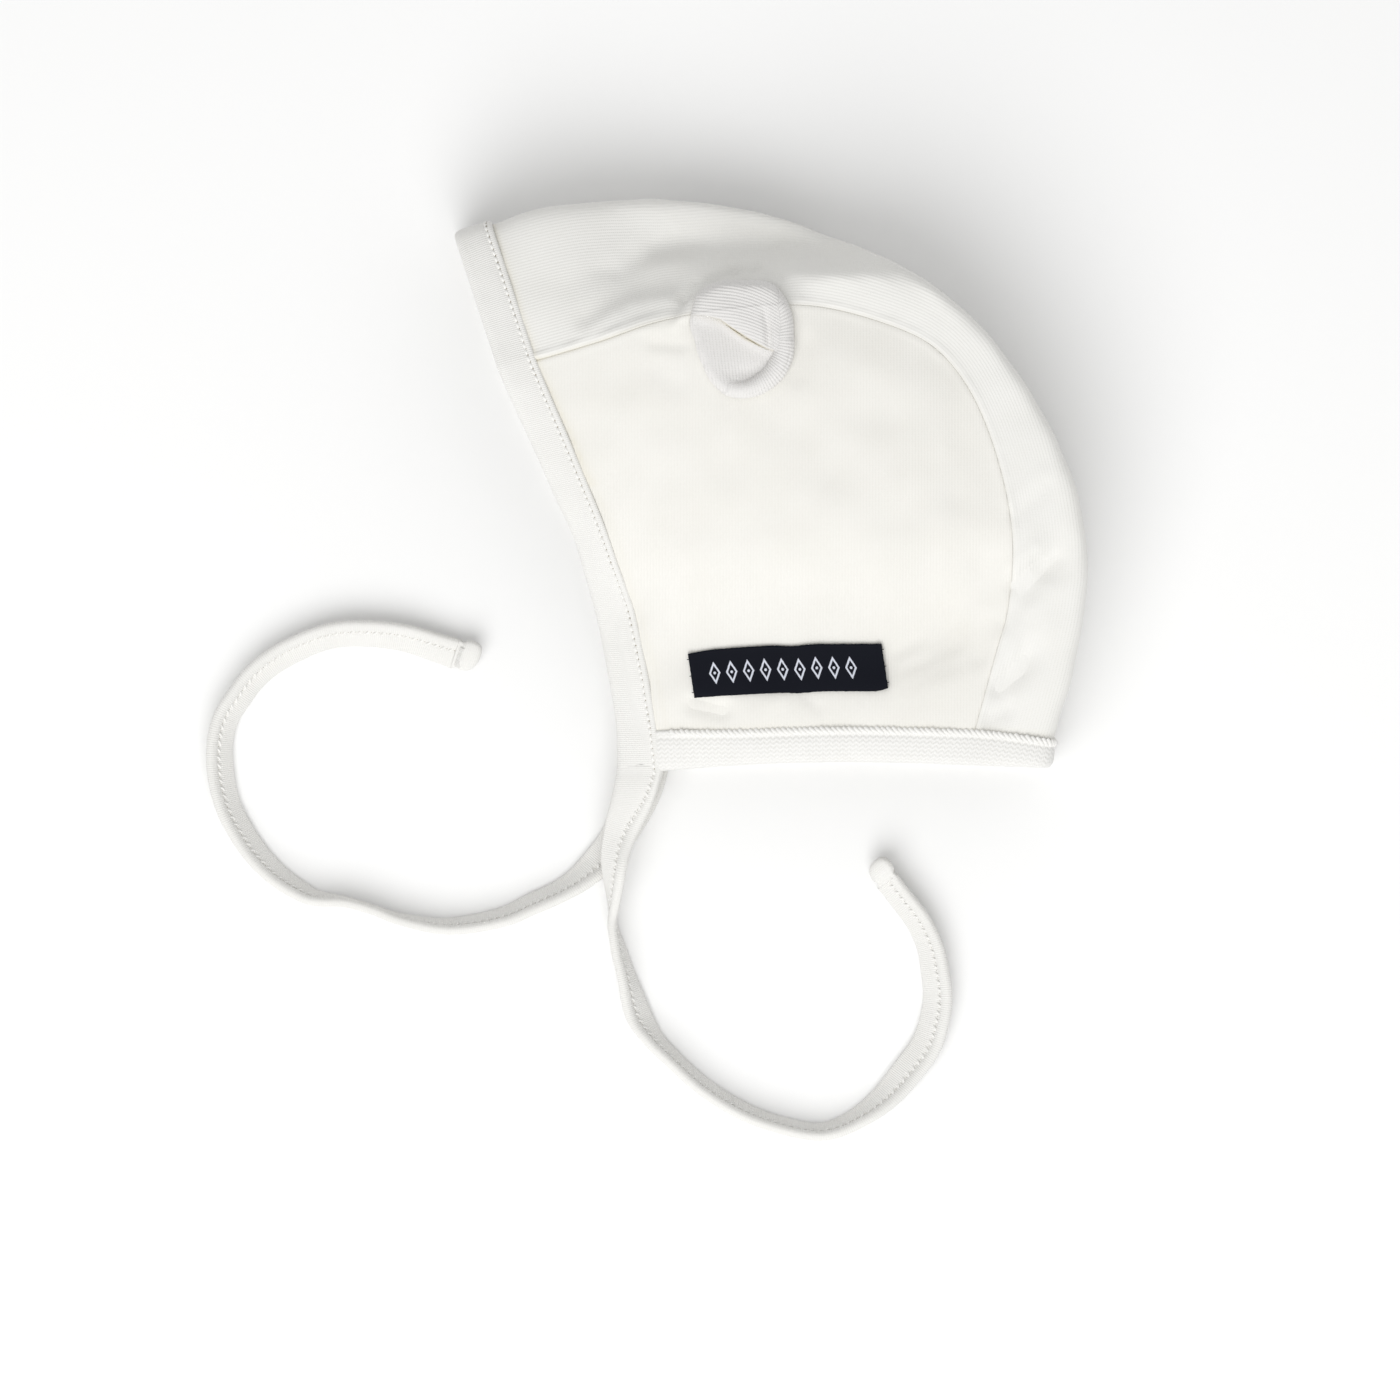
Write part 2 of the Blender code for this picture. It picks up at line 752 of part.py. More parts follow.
def make_ears(skin, jersey):
    above = Outside([(skin.near, skin.near_normals), (skin.centre, skin.centre_normals)], 1)
    below = Outside([(skin.far, skin.far_normals), (skin.centre, skin.centre_normals)], -1)

    def on_top(x, y, reach, low, high):
        base = above.height(x, y) + seam_gap
        bottom = base + low * ear_thickness
        crease = ear_crease_drop(x, y) if low < high and reach < 0.97 else 0.0
        return bottom, base + high * ear_thickness - crease

    def underneath(x, y, reach, low, high):
        ceiling = below.height(x, y) - 2 * seam_gap
        rim = far_ear_thickness * max(0.0, reach - far_ear_flat)
        top = ceiling - low * ceiling
        return (top, top) if low == high else (rim, top)

    make_ear("ear_near", on_top, jersey)
    make_ear("ear_far", underneath, jersey)
    return above


def make_label(above, woven):
    middle = np.array([along(label_centre[0]), up(label_centre[1])])
    rows_along = np.linspace(-label_width / 2, label_width / 2, label_cells[0] + 1)
    rows_up = np.linspace(-label_height / 2, label_height / 2, label_cells[1] + 1)
    lower = np.zeros((len(rows_along), len(rows_up), 3))
    for i, side in enumerate(rows_along):
        for j, height in enumerate(rows_up):
            x = middle[0] + side * math.cos(label_turn) - height * math.sin(label_turn)
            y = middle[1] + side * math.sin(label_turn) + height * math.cos(label_turn)
            lower[i, j] = (x, y, above.height(x, y) + seam_gap)
    upper = lower + np.array([0.0, 0.0, label_wall])
    cloth_slab("label", upper, lower, woven)


def band_height(width, thickness, tilt):
    """Half the height of a tilted band."""
    return (width * abs(math.sin(tilt)) + thickness * abs(math.cos(tilt))) / 2


def band_ring(centre, tangent, turn, tilt, width, thickness):
    """The eight corners of a flat band with rounded edges, square to its line."""
    outward = unit(turn * np.array([tangent[1], -tangent[0], 0.0]))
    upward = np.cross(tangent, outward) * turn
    upward = upward * np.sign(upward[2])
    wide = math.cos(tilt) * outward + math.sin(tilt) * upward
    thick = np.cross(tangent, wide)
    half, flat = width / 2, width / 2 - thickness * 0.35
    low, full = thickness * 0.2, thickness / 2
    corners = [(half, low), (flat, full), (-flat, full), (-half, low)]
    corners += [(-half, -low), (-flat, -full), (flat, -full), (half, -low)]
    return [centre + side * wide + lift * thick for side, lift in corners]


def tie_line(route):
    """The tie's centres, tilts and widths at even stations along its route."""
    centres, tilts = [], []
    for x, y, clear, degrees in smooth_curve(route, 6):
        tilt = math.radians(degrees)
        lift = band_height(tie_width, tie_thickness, tilt)
        centres.append((x * millimetre, y * millimetre, clear * millimetre + lift))
        tilts.append(tilt)
    centres = np.array(centres)
    lengths = np.linalg.norm(np.diff(centres, axis=0), axis=1)
    travelled = np.concatenate([[0.0], np.cumsum(lengths)])
    wanted = np.linspace(0.0, travelled[-1], tie_stations)
    centres = np.column_stack([np.interp(wanted, travelled, column) for column in centres.T])
    tilts = np.interp(wanted, travelled, tilts)
    distance = wanted / wanted[-1]
    widths = tie_width + (tie_root_width - tie_width) * (1 - smooth_step(distance / 0.12))
    return centres, tilts, widths


def make_tie(name, tip_name, route, turn, rib):
    """A tie from its chin corner to its end, and the doubled tip that is folded back on itself."""
    centres, tilts, widths = tie_line(route)
    tangents = unit(np.gradient(centres, axis=0))
    tangents[0] = (0.0, -1.0, 0.0)
    caps = [(0, 1, 2, 3), (0, 3, 4, 7), (4, 5, 6, 7)]
    rings = []
    for centre, tangent, tilt, width in zip(centres, tangents, tilts, widths):
        rings.append(band_ring(centre, tangent, turn, tilt, width, tie_thickness))
    swept(name, rings, caps, rib)
    heading = tangents[-1] * np.array([1.0, 1.0, 0.0])
    heading = heading / np.linalg.norm(heading)
    lift = band_height(tip_width, tip_thickness, tilts[-1])
    tip_rings = []
    for share, squeeze in ((0.0, 0.82), (0.3, 1.0), (0.8, 1.0), (1.0, 0.80)):
        centre = centres[-1] + heading * (seam_gap + share * tip_length)
        centre[2] = lift
        width = tip_width * squeeze
        tip_rings.append(band_ring(centre, heading, turn, tilts[-1], width, tip_thickness * squeeze))
    swept(tip_name, tip_rings, caps, rib)


def main():
    for old in list(bpy.data.objects):
        bpy.data.objects.remove(old, do_unlink=True)
    jersey = fabric("jersey", jersey_colour, 0.90)
    rib = fabric("rib_binding", binding_colour, 0.88)
    woven = fabric("woven_label", label_colour, 0.75)
    skin = Skin()
    make_panels(skin, jersey)
    make_face_binding(skin, rib)
    make_neck_binding(skin, rib)
    above = make_ears(skin, jersey)
    make_label(above, woven)
    make_tie("tie_near", "tie_tip_near", near_tie_route, 1, rib)
    make_tie("tie_far", "tie_tip_far", far_tie_route, -1, rib)


main()
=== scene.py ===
import math

import bmesh
import bpy
import numpy as np
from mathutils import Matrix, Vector
from mathutils.bvhtree import BVHTree


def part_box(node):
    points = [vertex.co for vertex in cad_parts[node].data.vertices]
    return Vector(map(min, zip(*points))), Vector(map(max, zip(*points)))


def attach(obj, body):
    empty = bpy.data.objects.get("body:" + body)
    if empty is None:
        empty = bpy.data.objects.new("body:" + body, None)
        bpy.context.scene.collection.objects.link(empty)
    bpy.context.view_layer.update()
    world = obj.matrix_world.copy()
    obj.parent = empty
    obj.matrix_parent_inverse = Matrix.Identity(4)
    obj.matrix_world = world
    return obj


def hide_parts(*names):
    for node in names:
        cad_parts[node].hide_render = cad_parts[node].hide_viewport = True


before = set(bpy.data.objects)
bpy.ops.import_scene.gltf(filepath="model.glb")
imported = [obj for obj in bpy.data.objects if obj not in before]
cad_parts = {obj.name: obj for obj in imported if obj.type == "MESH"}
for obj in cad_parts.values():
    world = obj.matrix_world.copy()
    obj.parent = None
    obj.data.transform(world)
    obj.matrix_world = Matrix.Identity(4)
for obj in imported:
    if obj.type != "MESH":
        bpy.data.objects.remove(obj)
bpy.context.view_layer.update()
scene = bpy.context.scene
mm = 0.001
print("frame loaded,", len(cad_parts), "nodes")


# Shared helpers.
def unit(vectors):
    return vectors / np.maximum(np.linalg.norm(vectors, axis=-1, keepdims=True), 1e-12)


def smoothStep(value):
    value = np.clip(value, 0.0, 1.0)
    return value * value * (3 - 2 * value)


def bell(value, middle, width):
    return np.exp(-((value - middle) / width) ** 2)


def between(grid, places):
    # A smooth curve through the first index of a grid, at places counted in its own steps.
    guide = np.concatenate([[2 * grid[0] - grid[1]], grid, [2 * grid[-1] - grid[-2]]])
    cell = np.clip(np.floor(places).astype(int), 0, len(grid) - 2)
    t = (places - cell).reshape((-1,) + (1,) * (grid.ndim - 1))
    before, start, end, after = (guide[cell + k] for k in range(4))
    square = 2 * before - 5 * start + 4 * end - after
    cube = 3 * (start - end) + after - before
    return 0.5 * (2 * start + (end - before) * t + square * t ** 2 + cube * t ** 3)


def smoothCurve(rows, steps):
    rows = np.asarray(rows, float)
    return between(rows, np.linspace(0, len(rows) - 1, (len(rows) - 1) * steps + 1))


def finer(grid, columns, rows):
    grid = between(grid, columns)
    return between(grid.transpose(1, 0, 2), rows).transpose(1, 0, 2)


def travelled(points):
    steps = np.linalg.norm(np.diff(points, axis=0), axis=1)
    return np.concatenate([[0.0], np.cumsum(steps)])


def evenly(points, count):
    distance = travelled(points[:, :3])
    wanted = np.linspace(0, distance[-1], count)
    return np.column_stack([np.interp(wanted, distance, column) for column in points.T])


def closerAtEnd(cells, steps, closer):
    # Places over some cells, closer together at the last one.
    share = np.linspace(0, 1, steps + 1)
    return cells * ((1 + closer) * share - closer * share ** 2)


def gridNormals(grid, sign=1):
    first = grid[1:, 1:] - grid[:-1, :-1]
    second = grid[:-1, 1:] - grid[1:, :-1]
    cell = np.cross(first, second) * sign
    total = np.zeros_like(grid)
    for part in (np.s_[:-1, :-1], np.s_[1:, :-1], np.s_[:-1, 1:], np.s_[1:, 1:]):
        total[part] += cell
    return total


def ripple(x, y, seed, waves, shortest, longest):
    # A sum of waves that run every way, between about -1 and 1.
    dice = np.random.default_rng(seed)
    total = np.zeros_like(x)
    for _ in range(waves):
        length, heading, start = dice.uniform((shortest, 0, 0), (longest, math.pi, 2 * math.pi))
        run = x * math.cos(heading) + y * math.sin(heading)
        total += np.sin(2 * math.pi * run / length + start)
    return total / math.sqrt(waves)


def distanceTo(x, y, curve):
    best = np.full(np.shape(x), np.inf)
    for px, py in curve:
        best = np.minimum(best, np.hypot(x - px, y - py))
    return best


def gridCells(columns, rows, start=0):
    index = np.arange(columns * rows).reshape(columns, rows) + start
    corners = (index[:-1, :-1], index[1:, :-1], index[1:, 1:], index[:-1, 1:])
    return np.stack(corners, axis=-1).reshape(-1, 4)


def ringCells(rings, around, start=0):
    index = np.arange(rings * around).reshape(rings, around) + start
    step = np.roll(index, -1, axis=1)
    corners = (index[:-1], step[:-1], step[1:], index[1:])
    return np.stack(corners, axis=-1).reshape(-1, 4)


def treeOf(*grids):
    points, cells = [], []
    for grid in grids:
        cells += gridCells(*grid.shape[:2], len(points)).tolist()
        points += grid.reshape(-1, 3).tolist()
    return BVHTree.FromPolygons(points, cells)


def heightOn(tree, x, y, side=1):
    # The second and third tries are for a point right over a seam.
    for beside in (0.0, 0.0003, -0.0003):
        hit = tree.ray_cast(Vector((x, y + beside, side * 0.3)), Vector((0, 0, -side)))
        if hit[0] is not None:
            return hit[0].z
    return tree.find_nearest(Vector((x, y, side * hat["depth"])))[0].z


def dressed(piece, slot, *nodes):
    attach(piece, "root")
    if nodes:
        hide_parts(*nodes)
    print("made", piece.name, len(piece.data.polygons), "faces")
    return piece


def makePiece(name, points, faces, weave, material, slot, *nodes, paintedShade=None):
    mesh = bpy.data.meshes.new(name)
    mesh.from_pydata(np.asarray(points).tolist(), [], [list(face) for face in faces])
    if weave is not None:
        corner = np.empty(len(mesh.loops), int)
        mesh.loops.foreach_get("vertex_index", corner)
        layer = mesh.uv_layers.new(name="weave")
        layer.data.foreach_set("uv", np.asarray(weave, np.float32)[corner].ravel())
    # Painted shade for the material, kept in the 'shaded' attribute.
    if paintedShade is not None:
        layer = mesh.attributes.new("shaded", "FLOAT", "POINT")
        layer.data.foreach_set("value", np.asarray(paintedShade, np.float32).ravel())
    body = bmesh.new()
    body.from_mesh(mesh)
    bmesh.ops.recalc_face_normals(body, faces=body.faces)
    body.to_mesh(mesh)
    body.free()
    mesh.materials.append(material)
    mesh.shade_smooth()
    piece = bpy.data.objects.new(name, mesh)
    scene.collection.objects.link(piece)
    return dressed(piece, slot, *nodes)


def clothWall(name, outer, inner, weave, material, slot, *nodes, paintedShade=None):
    # A closed wall between two grids of points.
    columns, rows = outer.shape[:2]
    count = columns * rows
    index = np.arange(count).reshape(columns, rows)
    rim = np.concatenate([index[:, 0], index[-1, 1:], index[-2::-1, -1], index[0, -2:0:-1]])
    step = np.roll(rim, -1)
    sides = np.stack([rim, step, step + count, rim + count], axis=-1)
    faces = np.concatenate([gridCells(columns, rows), gridCells(columns, rows, count), sides])
    points = np.concatenate([outer.reshape(-1, 3), inner.reshape(-1, 3)])
    weave = np.concatenate([weave.reshape(-1, 2)] * 2)
    if paintedShade is not None:
        paintedShade = np.concatenate([paintedShade.ravel(), np.zeros(count)])
    return makePiece(name, points, faces, weave, material, slot, *nodes, paintedShade=paintedShade)


def loft(name, sections, weave, material, slot, *nodes):
    # A closed body through rings of points, each end closed by one face.
    rings, around = sections.shape[:2]
    faces = ringCells(rings, around).tolist()
    faces.append(list(range(around)))
    faces.append(list(range((rings - 1) * around, rings * around)))
    points, weave = sections.reshape(-1, 3), weave.reshape(-1, 2)
    return makePiece(name, points, faces, weave, material, slot, *nodes)


def aroundOf(sections):
    # Millimetres round each section.
    steps = np.linalg.norm(np.diff(sections, axis=1, prepend=sections[:, :1]), axis=2)
    return np.cumsum(steps, axis=1) / mm


def ringWeave(sections):
    # Millimetres along a loft and round it.
    along, around = travelled(sections.mean(axis=1)) / mm, aroundOf(sections)
    return np.dstack([np.broadcast_to(along[:, None], around.shape), around])


# Materials. Cloth patterns read the weave map, which is in millimetres.
def newMaterial(name, colour, roughness):
    material = bpy.data.materials.new(name)
    material.use_nodes = True
    shader = material.node_tree.nodes["Principled BSDF"]
    shader.inputs["Base Color"].default_value = colour
    shader.inputs["Roughness"].default_value = roughness
    return material, material.node_tree, shader


def add(tree, kind, inputs=None, output=0, **settings):
    node = tree.nodes.new(kind)
    for name, value in settings.items():
        setattr(node, name, value)
    for name, value in (inputs or {}).items():
        if isinstance(value, bpy.types.NodeSocket):
            tree.links.new(value, node.inputs[name])
        else:
            node.inputs[name].default_value = value
    return node.outputs[output]


def calc(tree, operation, *values):
    return add(tree, "ShaderNodeMath", dict(enumerate(values)), operation=operation)


def wave(tree, value, pitch):
    return calc(tree, "SINE", calc(tree, "MULTIPLY", value, 2 * math.pi / pitch))


def bump(tree, shader, height, strength, distance):
    given = {"Height": height, "Strength": strength, "Distance": distance}
    tree.links.new(add(tree, "ShaderNodeBump", given), shader.inputs["Normal"])


def noise(tree, place, scale, detail):
    return add(tree, "ShaderNodeTexNoise", {"Vector": place, "Scale": scale, "Detail": detail})


def blendColours(tree, share, first, second):
    return add(tree, "ShaderNodeMix", {0: share, 6: first, 7: second}, 2, data_type="RGBA")


def weaveOf(tree):
    uv = add(tree, "ShaderNodeUVMap", uv_map="weave")
    split = tree.nodes.new("ShaderNodeSeparateXYZ")
    tree.links.new(uv, split.inputs[0])
    return split.outputs[0], split.outputs[1]


knit = {
    "wale": 0.82,
    "course": 0.46,
    "contrast": 0.07,
    "ribsAlong": False,
    "chevron": 0.0,
    "chevronHalf": 0.9,
    "loopShare": 0.45,
    "relief": 0.00022,
    "roughness": 0.92,
    "fuzzRoughness": (0.18, 0.80),
    "sheen": 0.25,
    "sheenRoughness": 0.6,
    "specular": 0.2,
    "fuzz": 2.2,
    "fuzzScale": 1400.0,
    "tint": 0.55,
    "tintLess": 0.12,
    "tintScale": 70.0,
    "grooveLess": 0.027,
    # The warm colour of the painted shade that the 'shaded' attribute blends in beside the lips, in
    # the seams and in the ear's slit.
    "warmShade": (0.680, 0.615, 0.430, 1),
    "fleck": (0.50, 0.44, 0.36, 1),
    "fleckScale": 120.0,
    "fleckSize": 0.020,
    "fleckAbove": 0.84,
    "fleckShow": 0.45,
    # What each cloth has of its own: its tone, the shade in its grooves and how deep its ribs look,
    # and where they differ, the pitch of the ribs and of the loops on them in millimetres.
    "cloths": {
        "jersey": {
            "tone": (0.845, 0.832, 0.790, 1), "shade": (0.740, 0.722, 0.660, 1), "depth": 0.22,
        },
        "centre jersey": {
            "tone": (0.845, 0.838, 0.808, 1), "shade": (0.735, 0.722, 0.675, 1), "depth": 0.22,
        },
        # The ear's tone is greyer than the jersey's: painted shade over the whole ear.
        "ear jersey": {
            "tone": (0.822, 0.808, 0.792, 1), "shade": (0.712, 0.698, 0.672, 1), "depth": 0.45,
            "wale": 0.86,
        },
        "rib binding": {
            "tone": (0.860, 0.852, 0.825, 1), "shade": (0.735, 0.725, 0.685, 1), "depth": 0.36,
            "wale": 0.56, "course": 0.52,
        },
        "chevron binding": {
            "tone": (0.862, 0.855, 0.832, 1), "shade": (0.735, 0.725, 0.685, 1), "depth": 0.38,
            "wale": 1.25, "ribsAlong": True, "chevron": 0.80, "contrast": 0.30,
        },
    },
    # tone and shade
    "threads": {
        "cotton thread": ((0.91, 0.905, 0.885, 1), (0.80, 0.79, 0.76, 1)),
        # The needle holes' dark tone is painted shade.
        "needle hole shade": ((0.42, 0.38, 0.31, 1), (0.34, 0.30, 0.24, 1)),
        "dark thread": ((0.012, 0.013, 0.020, 1), (0.004, 0.004, 0.008, 1)),
    },
    "threadRoughness": 0.6,
    "threadSheen": 0.2,
    "twistScale": 2600.0,
    "twistRelief": (0.4, 0.0001),
}


def knitCloth(name):
    # Ribs run along the second weave direction, or along the first in chevrons, with loops on them.
    own = {**knit, **knit["cloths"][name]}
    tone, contrast = own["tone"], own["contrast"]
    material, tree, shader = newMaterial(name, tone, own["roughness"])
    first, second = weaveOf(tree)
    across, along = (second, first) if own["ribsAlong"] else (first, second)
    bent = calc(tree, "MULTIPLY", calc(tree, "PINGPONG", along, own["chevronHalf"]), own["chevron"])
    rib = wave(tree, calc(tree, "ADD", across, bent), own["wale"])
    slant = calc(tree, "PINGPONG", calc(tree, "DIVIDE", across, own["wale"]), 0.5)
    shifted = calc(tree, "ADD", along, calc(tree, "MULTIPLY", slant, own["course"]))
    loop = wave(tree, shifted, own["course"])
    place = add(tree, "ShaderNodeTexCoord", output=3)
    fuzz = noise(tree, place, own["fuzzScale"], 3.0)
    tint = noise(tree, place, own["tintScale"], 4.0)
    height = calc(tree, "MULTIPLY_ADD", loop, own["loopShare"], rib)
    height = calc(tree, "MULTIPLY_ADD", fuzz, own["fuzz"], height)
    bump(tree, shader, height, own["depth"], own["relief"])

    # Painted shade: the colour darkens towards the cloth's shade tone in the grooves of its ribs.
    # Its tone also differs at random.
    level = own["fuzz"] / 2 * contrast - own["grooveLess"]
    groove = calc(tree, "MULTIPLY_ADD", height, -contrast, level)
    paintedShade = calc(tree, "SUBTRACT", groove, own["tintLess"])
    paintedShade = calc(tree, "MULTIPLY_ADD", tint, own["tint"], paintedShade)
    colour = blendColours(tree, paintedShade, tone, own["shade"])
    # Painted warm shade, read from the 'shaded' attribute.
    shaded = add(tree, "ShaderNodeAttribute", output=2, attribute_name="shaded")
    colour = blendColours(tree, shaded, colour, own["warmShade"])
    flecks = add(tree, "ShaderNodeTexVoronoi", {"Vector": place, "Scale": own["fleckScale"]})
    cells = tree.nodes[-1]
    chance = add(tree, "ShaderNodeSeparateColor", {0: cells.outputs["Color"]})
    chosen = calc(tree, "GREATER_THAN", chance, own["fleckAbove"])
    small = calc(tree, "LESS_THAN", flecks, own["fleckSize"])
    fleck = calc(tree, "MULTIPLY", calc(tree, "MULTIPLY", chosen, small), own["fleckShow"])
    colour = blendColours(tree, fleck, colour, own["fleck"])
    tree.links.new(colour, shader.inputs["Base Color"])
    rough = calc(tree, "MULTIPLY_ADD", fuzz, *own["fuzzRoughness"])
    tree.links.new(rough, shader.inputs["Roughness"])
    shader.inputs["Sheen Weight"].default_value = own["sheen"]
    shader.inputs["Sheen Roughness"].default_value = own["sheenRoughness"]
    shader.inputs["Specular IOR Level"].default_value = own["specular"]
    return material


def threadMaterial(name):
    tone, shade = knit["threads"][name]
    material, tree, shader = newMaterial(name, tone, knit["threadRoughness"])
    place = add(tree, "ShaderNodeTexCoord", output=3)
    twist = noise(tree, place, knit["twistScale"], 2.0)
    bump(tree, shader, twist, *knit["twistRelief"])
    tree.links.new(blendColours(tree, twist, tone, shade), shader.inputs["Base Color"])
    shader.inputs["Sheen Weight"].default_value = knit["threadSheen"]
    return material


# The picture is square and looks straight down on the bonnet, with the top of the head up.
studio = {
    "pictureWidth": 0.378,
    "pictureMiddle": (-0.0187, -0.0577, 0.022),
    "cameraHeight": 4.0,
    "cameraReach": 20.0,
    "sensor": 36.0,
    "floorSize": 4.0,
    "floorLevel": -0.0002,
    "floorTone": (0.95, 0.95, 0.945, 1),
    "floorRoughness": 0.9,
    "grainScale": 900.0,
    "grainRelief": (0.05, 0.0002),
    "skyStrength": 0.61,
    "keyPower": 17.6,
    "keySize": 1.6,
    "keyDistance": 1.6,
    "keyFrom": (-0.15, -0.54, 0.83),
    "keyAim": (0.0, -0.05, 0.0),
}


def setUpStudio():
    middle = Vector(studio["pictureMiddle"])
    lens = bpy.data.cameras.new("camera")
    lens.sensor_width = studio["sensor"]
    lens.lens = studio["sensor"] * studio["cameraHeight"] / studio["pictureWidth"]
    lens.clip_end = studio["cameraReach"]
    camera = bpy.data.objects.new("camera", lens)
    camera.location = middle + Vector((0, 0, studio["cameraHeight"]))
    scene.collection.objects.link(camera)
    scene.camera = camera
    scene.view_settings.view_transform = "Standard"

    world = bpy.data.worlds.new("studio")
    world.use_nodes = True
    sky = world.node_tree.nodes["Background"].inputs
    sky["Color"].default_value = (1, 1, 1, 1)
    sky["Strength"].default_value = studio["skyStrength"]
    scene.world = world

    key = bpy.data.lights.new("key", "AREA")
    key.shape = "DISK"
    key.size = studio["keySize"]
    key.energy = studio["keyPower"]
    lamp = bpy.data.objects.new("key", key)
    heading = Vector(studio["keyFrom"]).normalized()
    lamp.location = Vector(studio["keyAim"]) + heading * studio["keyDistance"]
    lamp.rotation_euler = heading.to_track_quat("Z", "Y").to_euler()
    lamp.visible_camera = False
    scene.collection.objects.link(lamp)

    half, level = studio["floorSize"] / 2, studio["floorLevel"]
    mesh = bpy.data.meshes.new("floor")
    corners = [(x * half, y * half, level) for x, y in ((-1, -1), (1, -1), (1, 1), (-1, 1))]
    mesh.from_pydata(corners, [], [(0, 1, 2, 3)])
    paper, tree, shader = newMaterial("pale paper", studio["floorTone"], studio["floorRoughness"])
    grain = add(tree, "ShaderNodeTexNoise", {"Scale": studio["grainScale"], "Detail": 2.0})
    bump(tree, shader, grain, *studio["grainRelief"])
    mesh.materials.append(paper)
    floor = bpy.data.objects.new("floor", mesh)
    scene.collection.objects.link(floor)


# The bonnet as it lies. Its length and height are the frame's own.
hat = {
    "length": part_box("centre_panel")[1].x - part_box("face_binding")[0].x,
    "height": 2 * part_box("centre_panel")[1].y,
    "depth": 0.0520,
    "wall": 0.0012,
    "bindingWall": 0.0010,
    "seamGap": 0.0003,
    "sideSwell": 0.0075,
    "cellsPerRow": 3,
    "cellsAround": 36,
    "cornerRow": 7,
    "edgeRows": 6,
    "relaxRounds": 900,
    "turnSteps": 240,
    "edgePoints": 12,
    "leanPower": 1.3,
    # A row for each section from the forehead to the nape: where the side seam and the crown line
    # pass as shares of length and height, the seam's rise as a share of depth, how square the
    # section is, from 2 for an ellipse, how many millimetres its upper side leans down to the
    # crown line, and a step in it: between which shares of that way it lies, and its drop.
    # seam along, seam up, crown along, crown up, seam rise, squareness, lean, step from, to, drop
    "sections": [
        (0.073, 0.700, 0.000, 0.945, 0.76, 7.0, 5.5, 0.05, 1.00, 0.0),
        (0.145, 0.721, 0.071, 0.968, 0.80, 10.0, 6.0, 0.05, 0.70, 0.0),
        (0.237, 0.751, 0.177, 0.990, 0.88, 12.0, 5.0, 0.11, 0.42, 5.0),
        (0.335, 0.786, 0.319, 1.000, 0.94, 12.0, 2.8, 0.18, 0.66, 16.0),
        (0.458, 0.807, 0.462, 0.982, 0.98, 10.0, 1.0, 0.00, 0.76, 19.0),
        (0.572, 0.810, 0.580, 0.942, 1.00, 9.0, 0.5, 0.30, 0.96, 18.5),
        (0.683, 0.779, 0.715, 0.877, 1.00, 12.0, 1.0, 0.70, 1.00, 0.5),
        (0.762, 0.735, 0.825, 0.784, 0.99, 13.0, 0.6, 0.50, 1.00, 0.0),
        (0.821, 0.649, 0.912, 0.658, 0.97, 13.0, 0.5, 0.50, 1.00, 0.0),
        (0.863, 0.525, 0.975, 0.516, 0.94, 13.0, 0.5, 0.50, 1.00, 0.0),
        (0.882, 0.398, 1.000, 0.389, 0.90, 13.0, 0.8, 0.50, 1.00, 0.0),
        (0.874, 0.284, 0.996, 0.280, 0.85, 13.0, 0.8, 0.50, 1.00, 0.0),
        (0.847, 0.170, 0.974, 0.151, 0.79, 11.0, 0.8, 0.50, 1.00, 0.0),
        (0.808, 0.013, 0.947, 0.008, 0.70, 8.0, 0.8, 0.50, 1.00, 0.0),
    ],
    # along, up, rise, from the chin corner to the side seam
    "faceEdge": [
        (0.261, 0.000, 0.23),
        (0.260, 0.083, 0.26),
        (0.248, 0.163, 0.32),
        (0.231, 0.258, 0.41),
        (0.2115, 0.337, 0.49),
        (0.192, 0.410, 0.56),
        (0.159, 0.489, 0.64),
        (0.1265, 0.569, 0.70),
        (0.093, 0.649, 0.745),
        (0.073, 0.700, 0.76),
    ],
    # along, up, rise, from the chin corner back to the side seam
    "neckEdge": [
        (0.261, 0.000, 0.23),
        (0.3225, 0.002, 0.34),
        (0.454, 0.013, 0.50),
        (0.585, 0.018, 0.61),
        (0.716, 0.017, 0.67),
        (0.808, 0.013, 0.70),
    ],
    # Broad folds: from along, from up, to along, to up, depth and width in millimetres.
    "folds": [
        (0.575, 0.808, 0.690, 0.777, 1.2, 8.0),
        (0.690, 0.777, 0.765, 0.733, 1.2, 8.0),
        (0.765, 0.733, 0.815, 0.660, 0.8, 8.0),
        (0.305, 0.290, 0.385, 0.240, 4.2, 12.0),
        (0.385, 0.240, 0.490, 0.226, 7.0, 14.5),
        (0.490, 0.226, 0.660, 0.230, 8.6, 15.5),
        (0.660, 0.230, 0.770, 0.258, 8.0, 14.5),
        (0.770, 0.258, 0.830, 0.320, 4.2, 11.0),
        (0.580, 0.560, 0.665, 0.620, 0.7, 8.1),
        (0.790, 0.500, 0.835, 0.640, 0.8, 7.2),
        (0.895, 0.318, 0.955, 0.372, 1.9, 4.0),
        (0.860, 0.146, 0.906, 0.210, 1.4, 4.5),
    ],
}


def alongHat(share):
    return (share - 0.5) * hat["length"]


def upHat(share):
    return (share - 0.5) * hat["height"]


def riseHat(share):
    return hat["wall"] / 2 + share * (hat["depth"] - hat["wall"])


def placeOf(piece):
    return alongHat(piece["middle"][0]), upHat(piece["middle"][1])


def edgeCurve(rows, count):
    along, up, rise = smoothCurve(rows, 8).T
    return evenly(np.column_stack([alongHat(along), upHat(up), riseHat(rise)]), count)


def relaxed(grid, push=0.0):
    # Each inner point moves to the middle of its four neighbours, over and over.
    for _ in range(hat["relaxRounds"]):
        across = grid[2:, 1:-1] + grid[:-2, 1:-1]
        over = grid[1:-1, 2:] + grid[1:-1, :-2]
        grid[1:-1, 1:-1] = (across + over) / 4 + push
    return grid


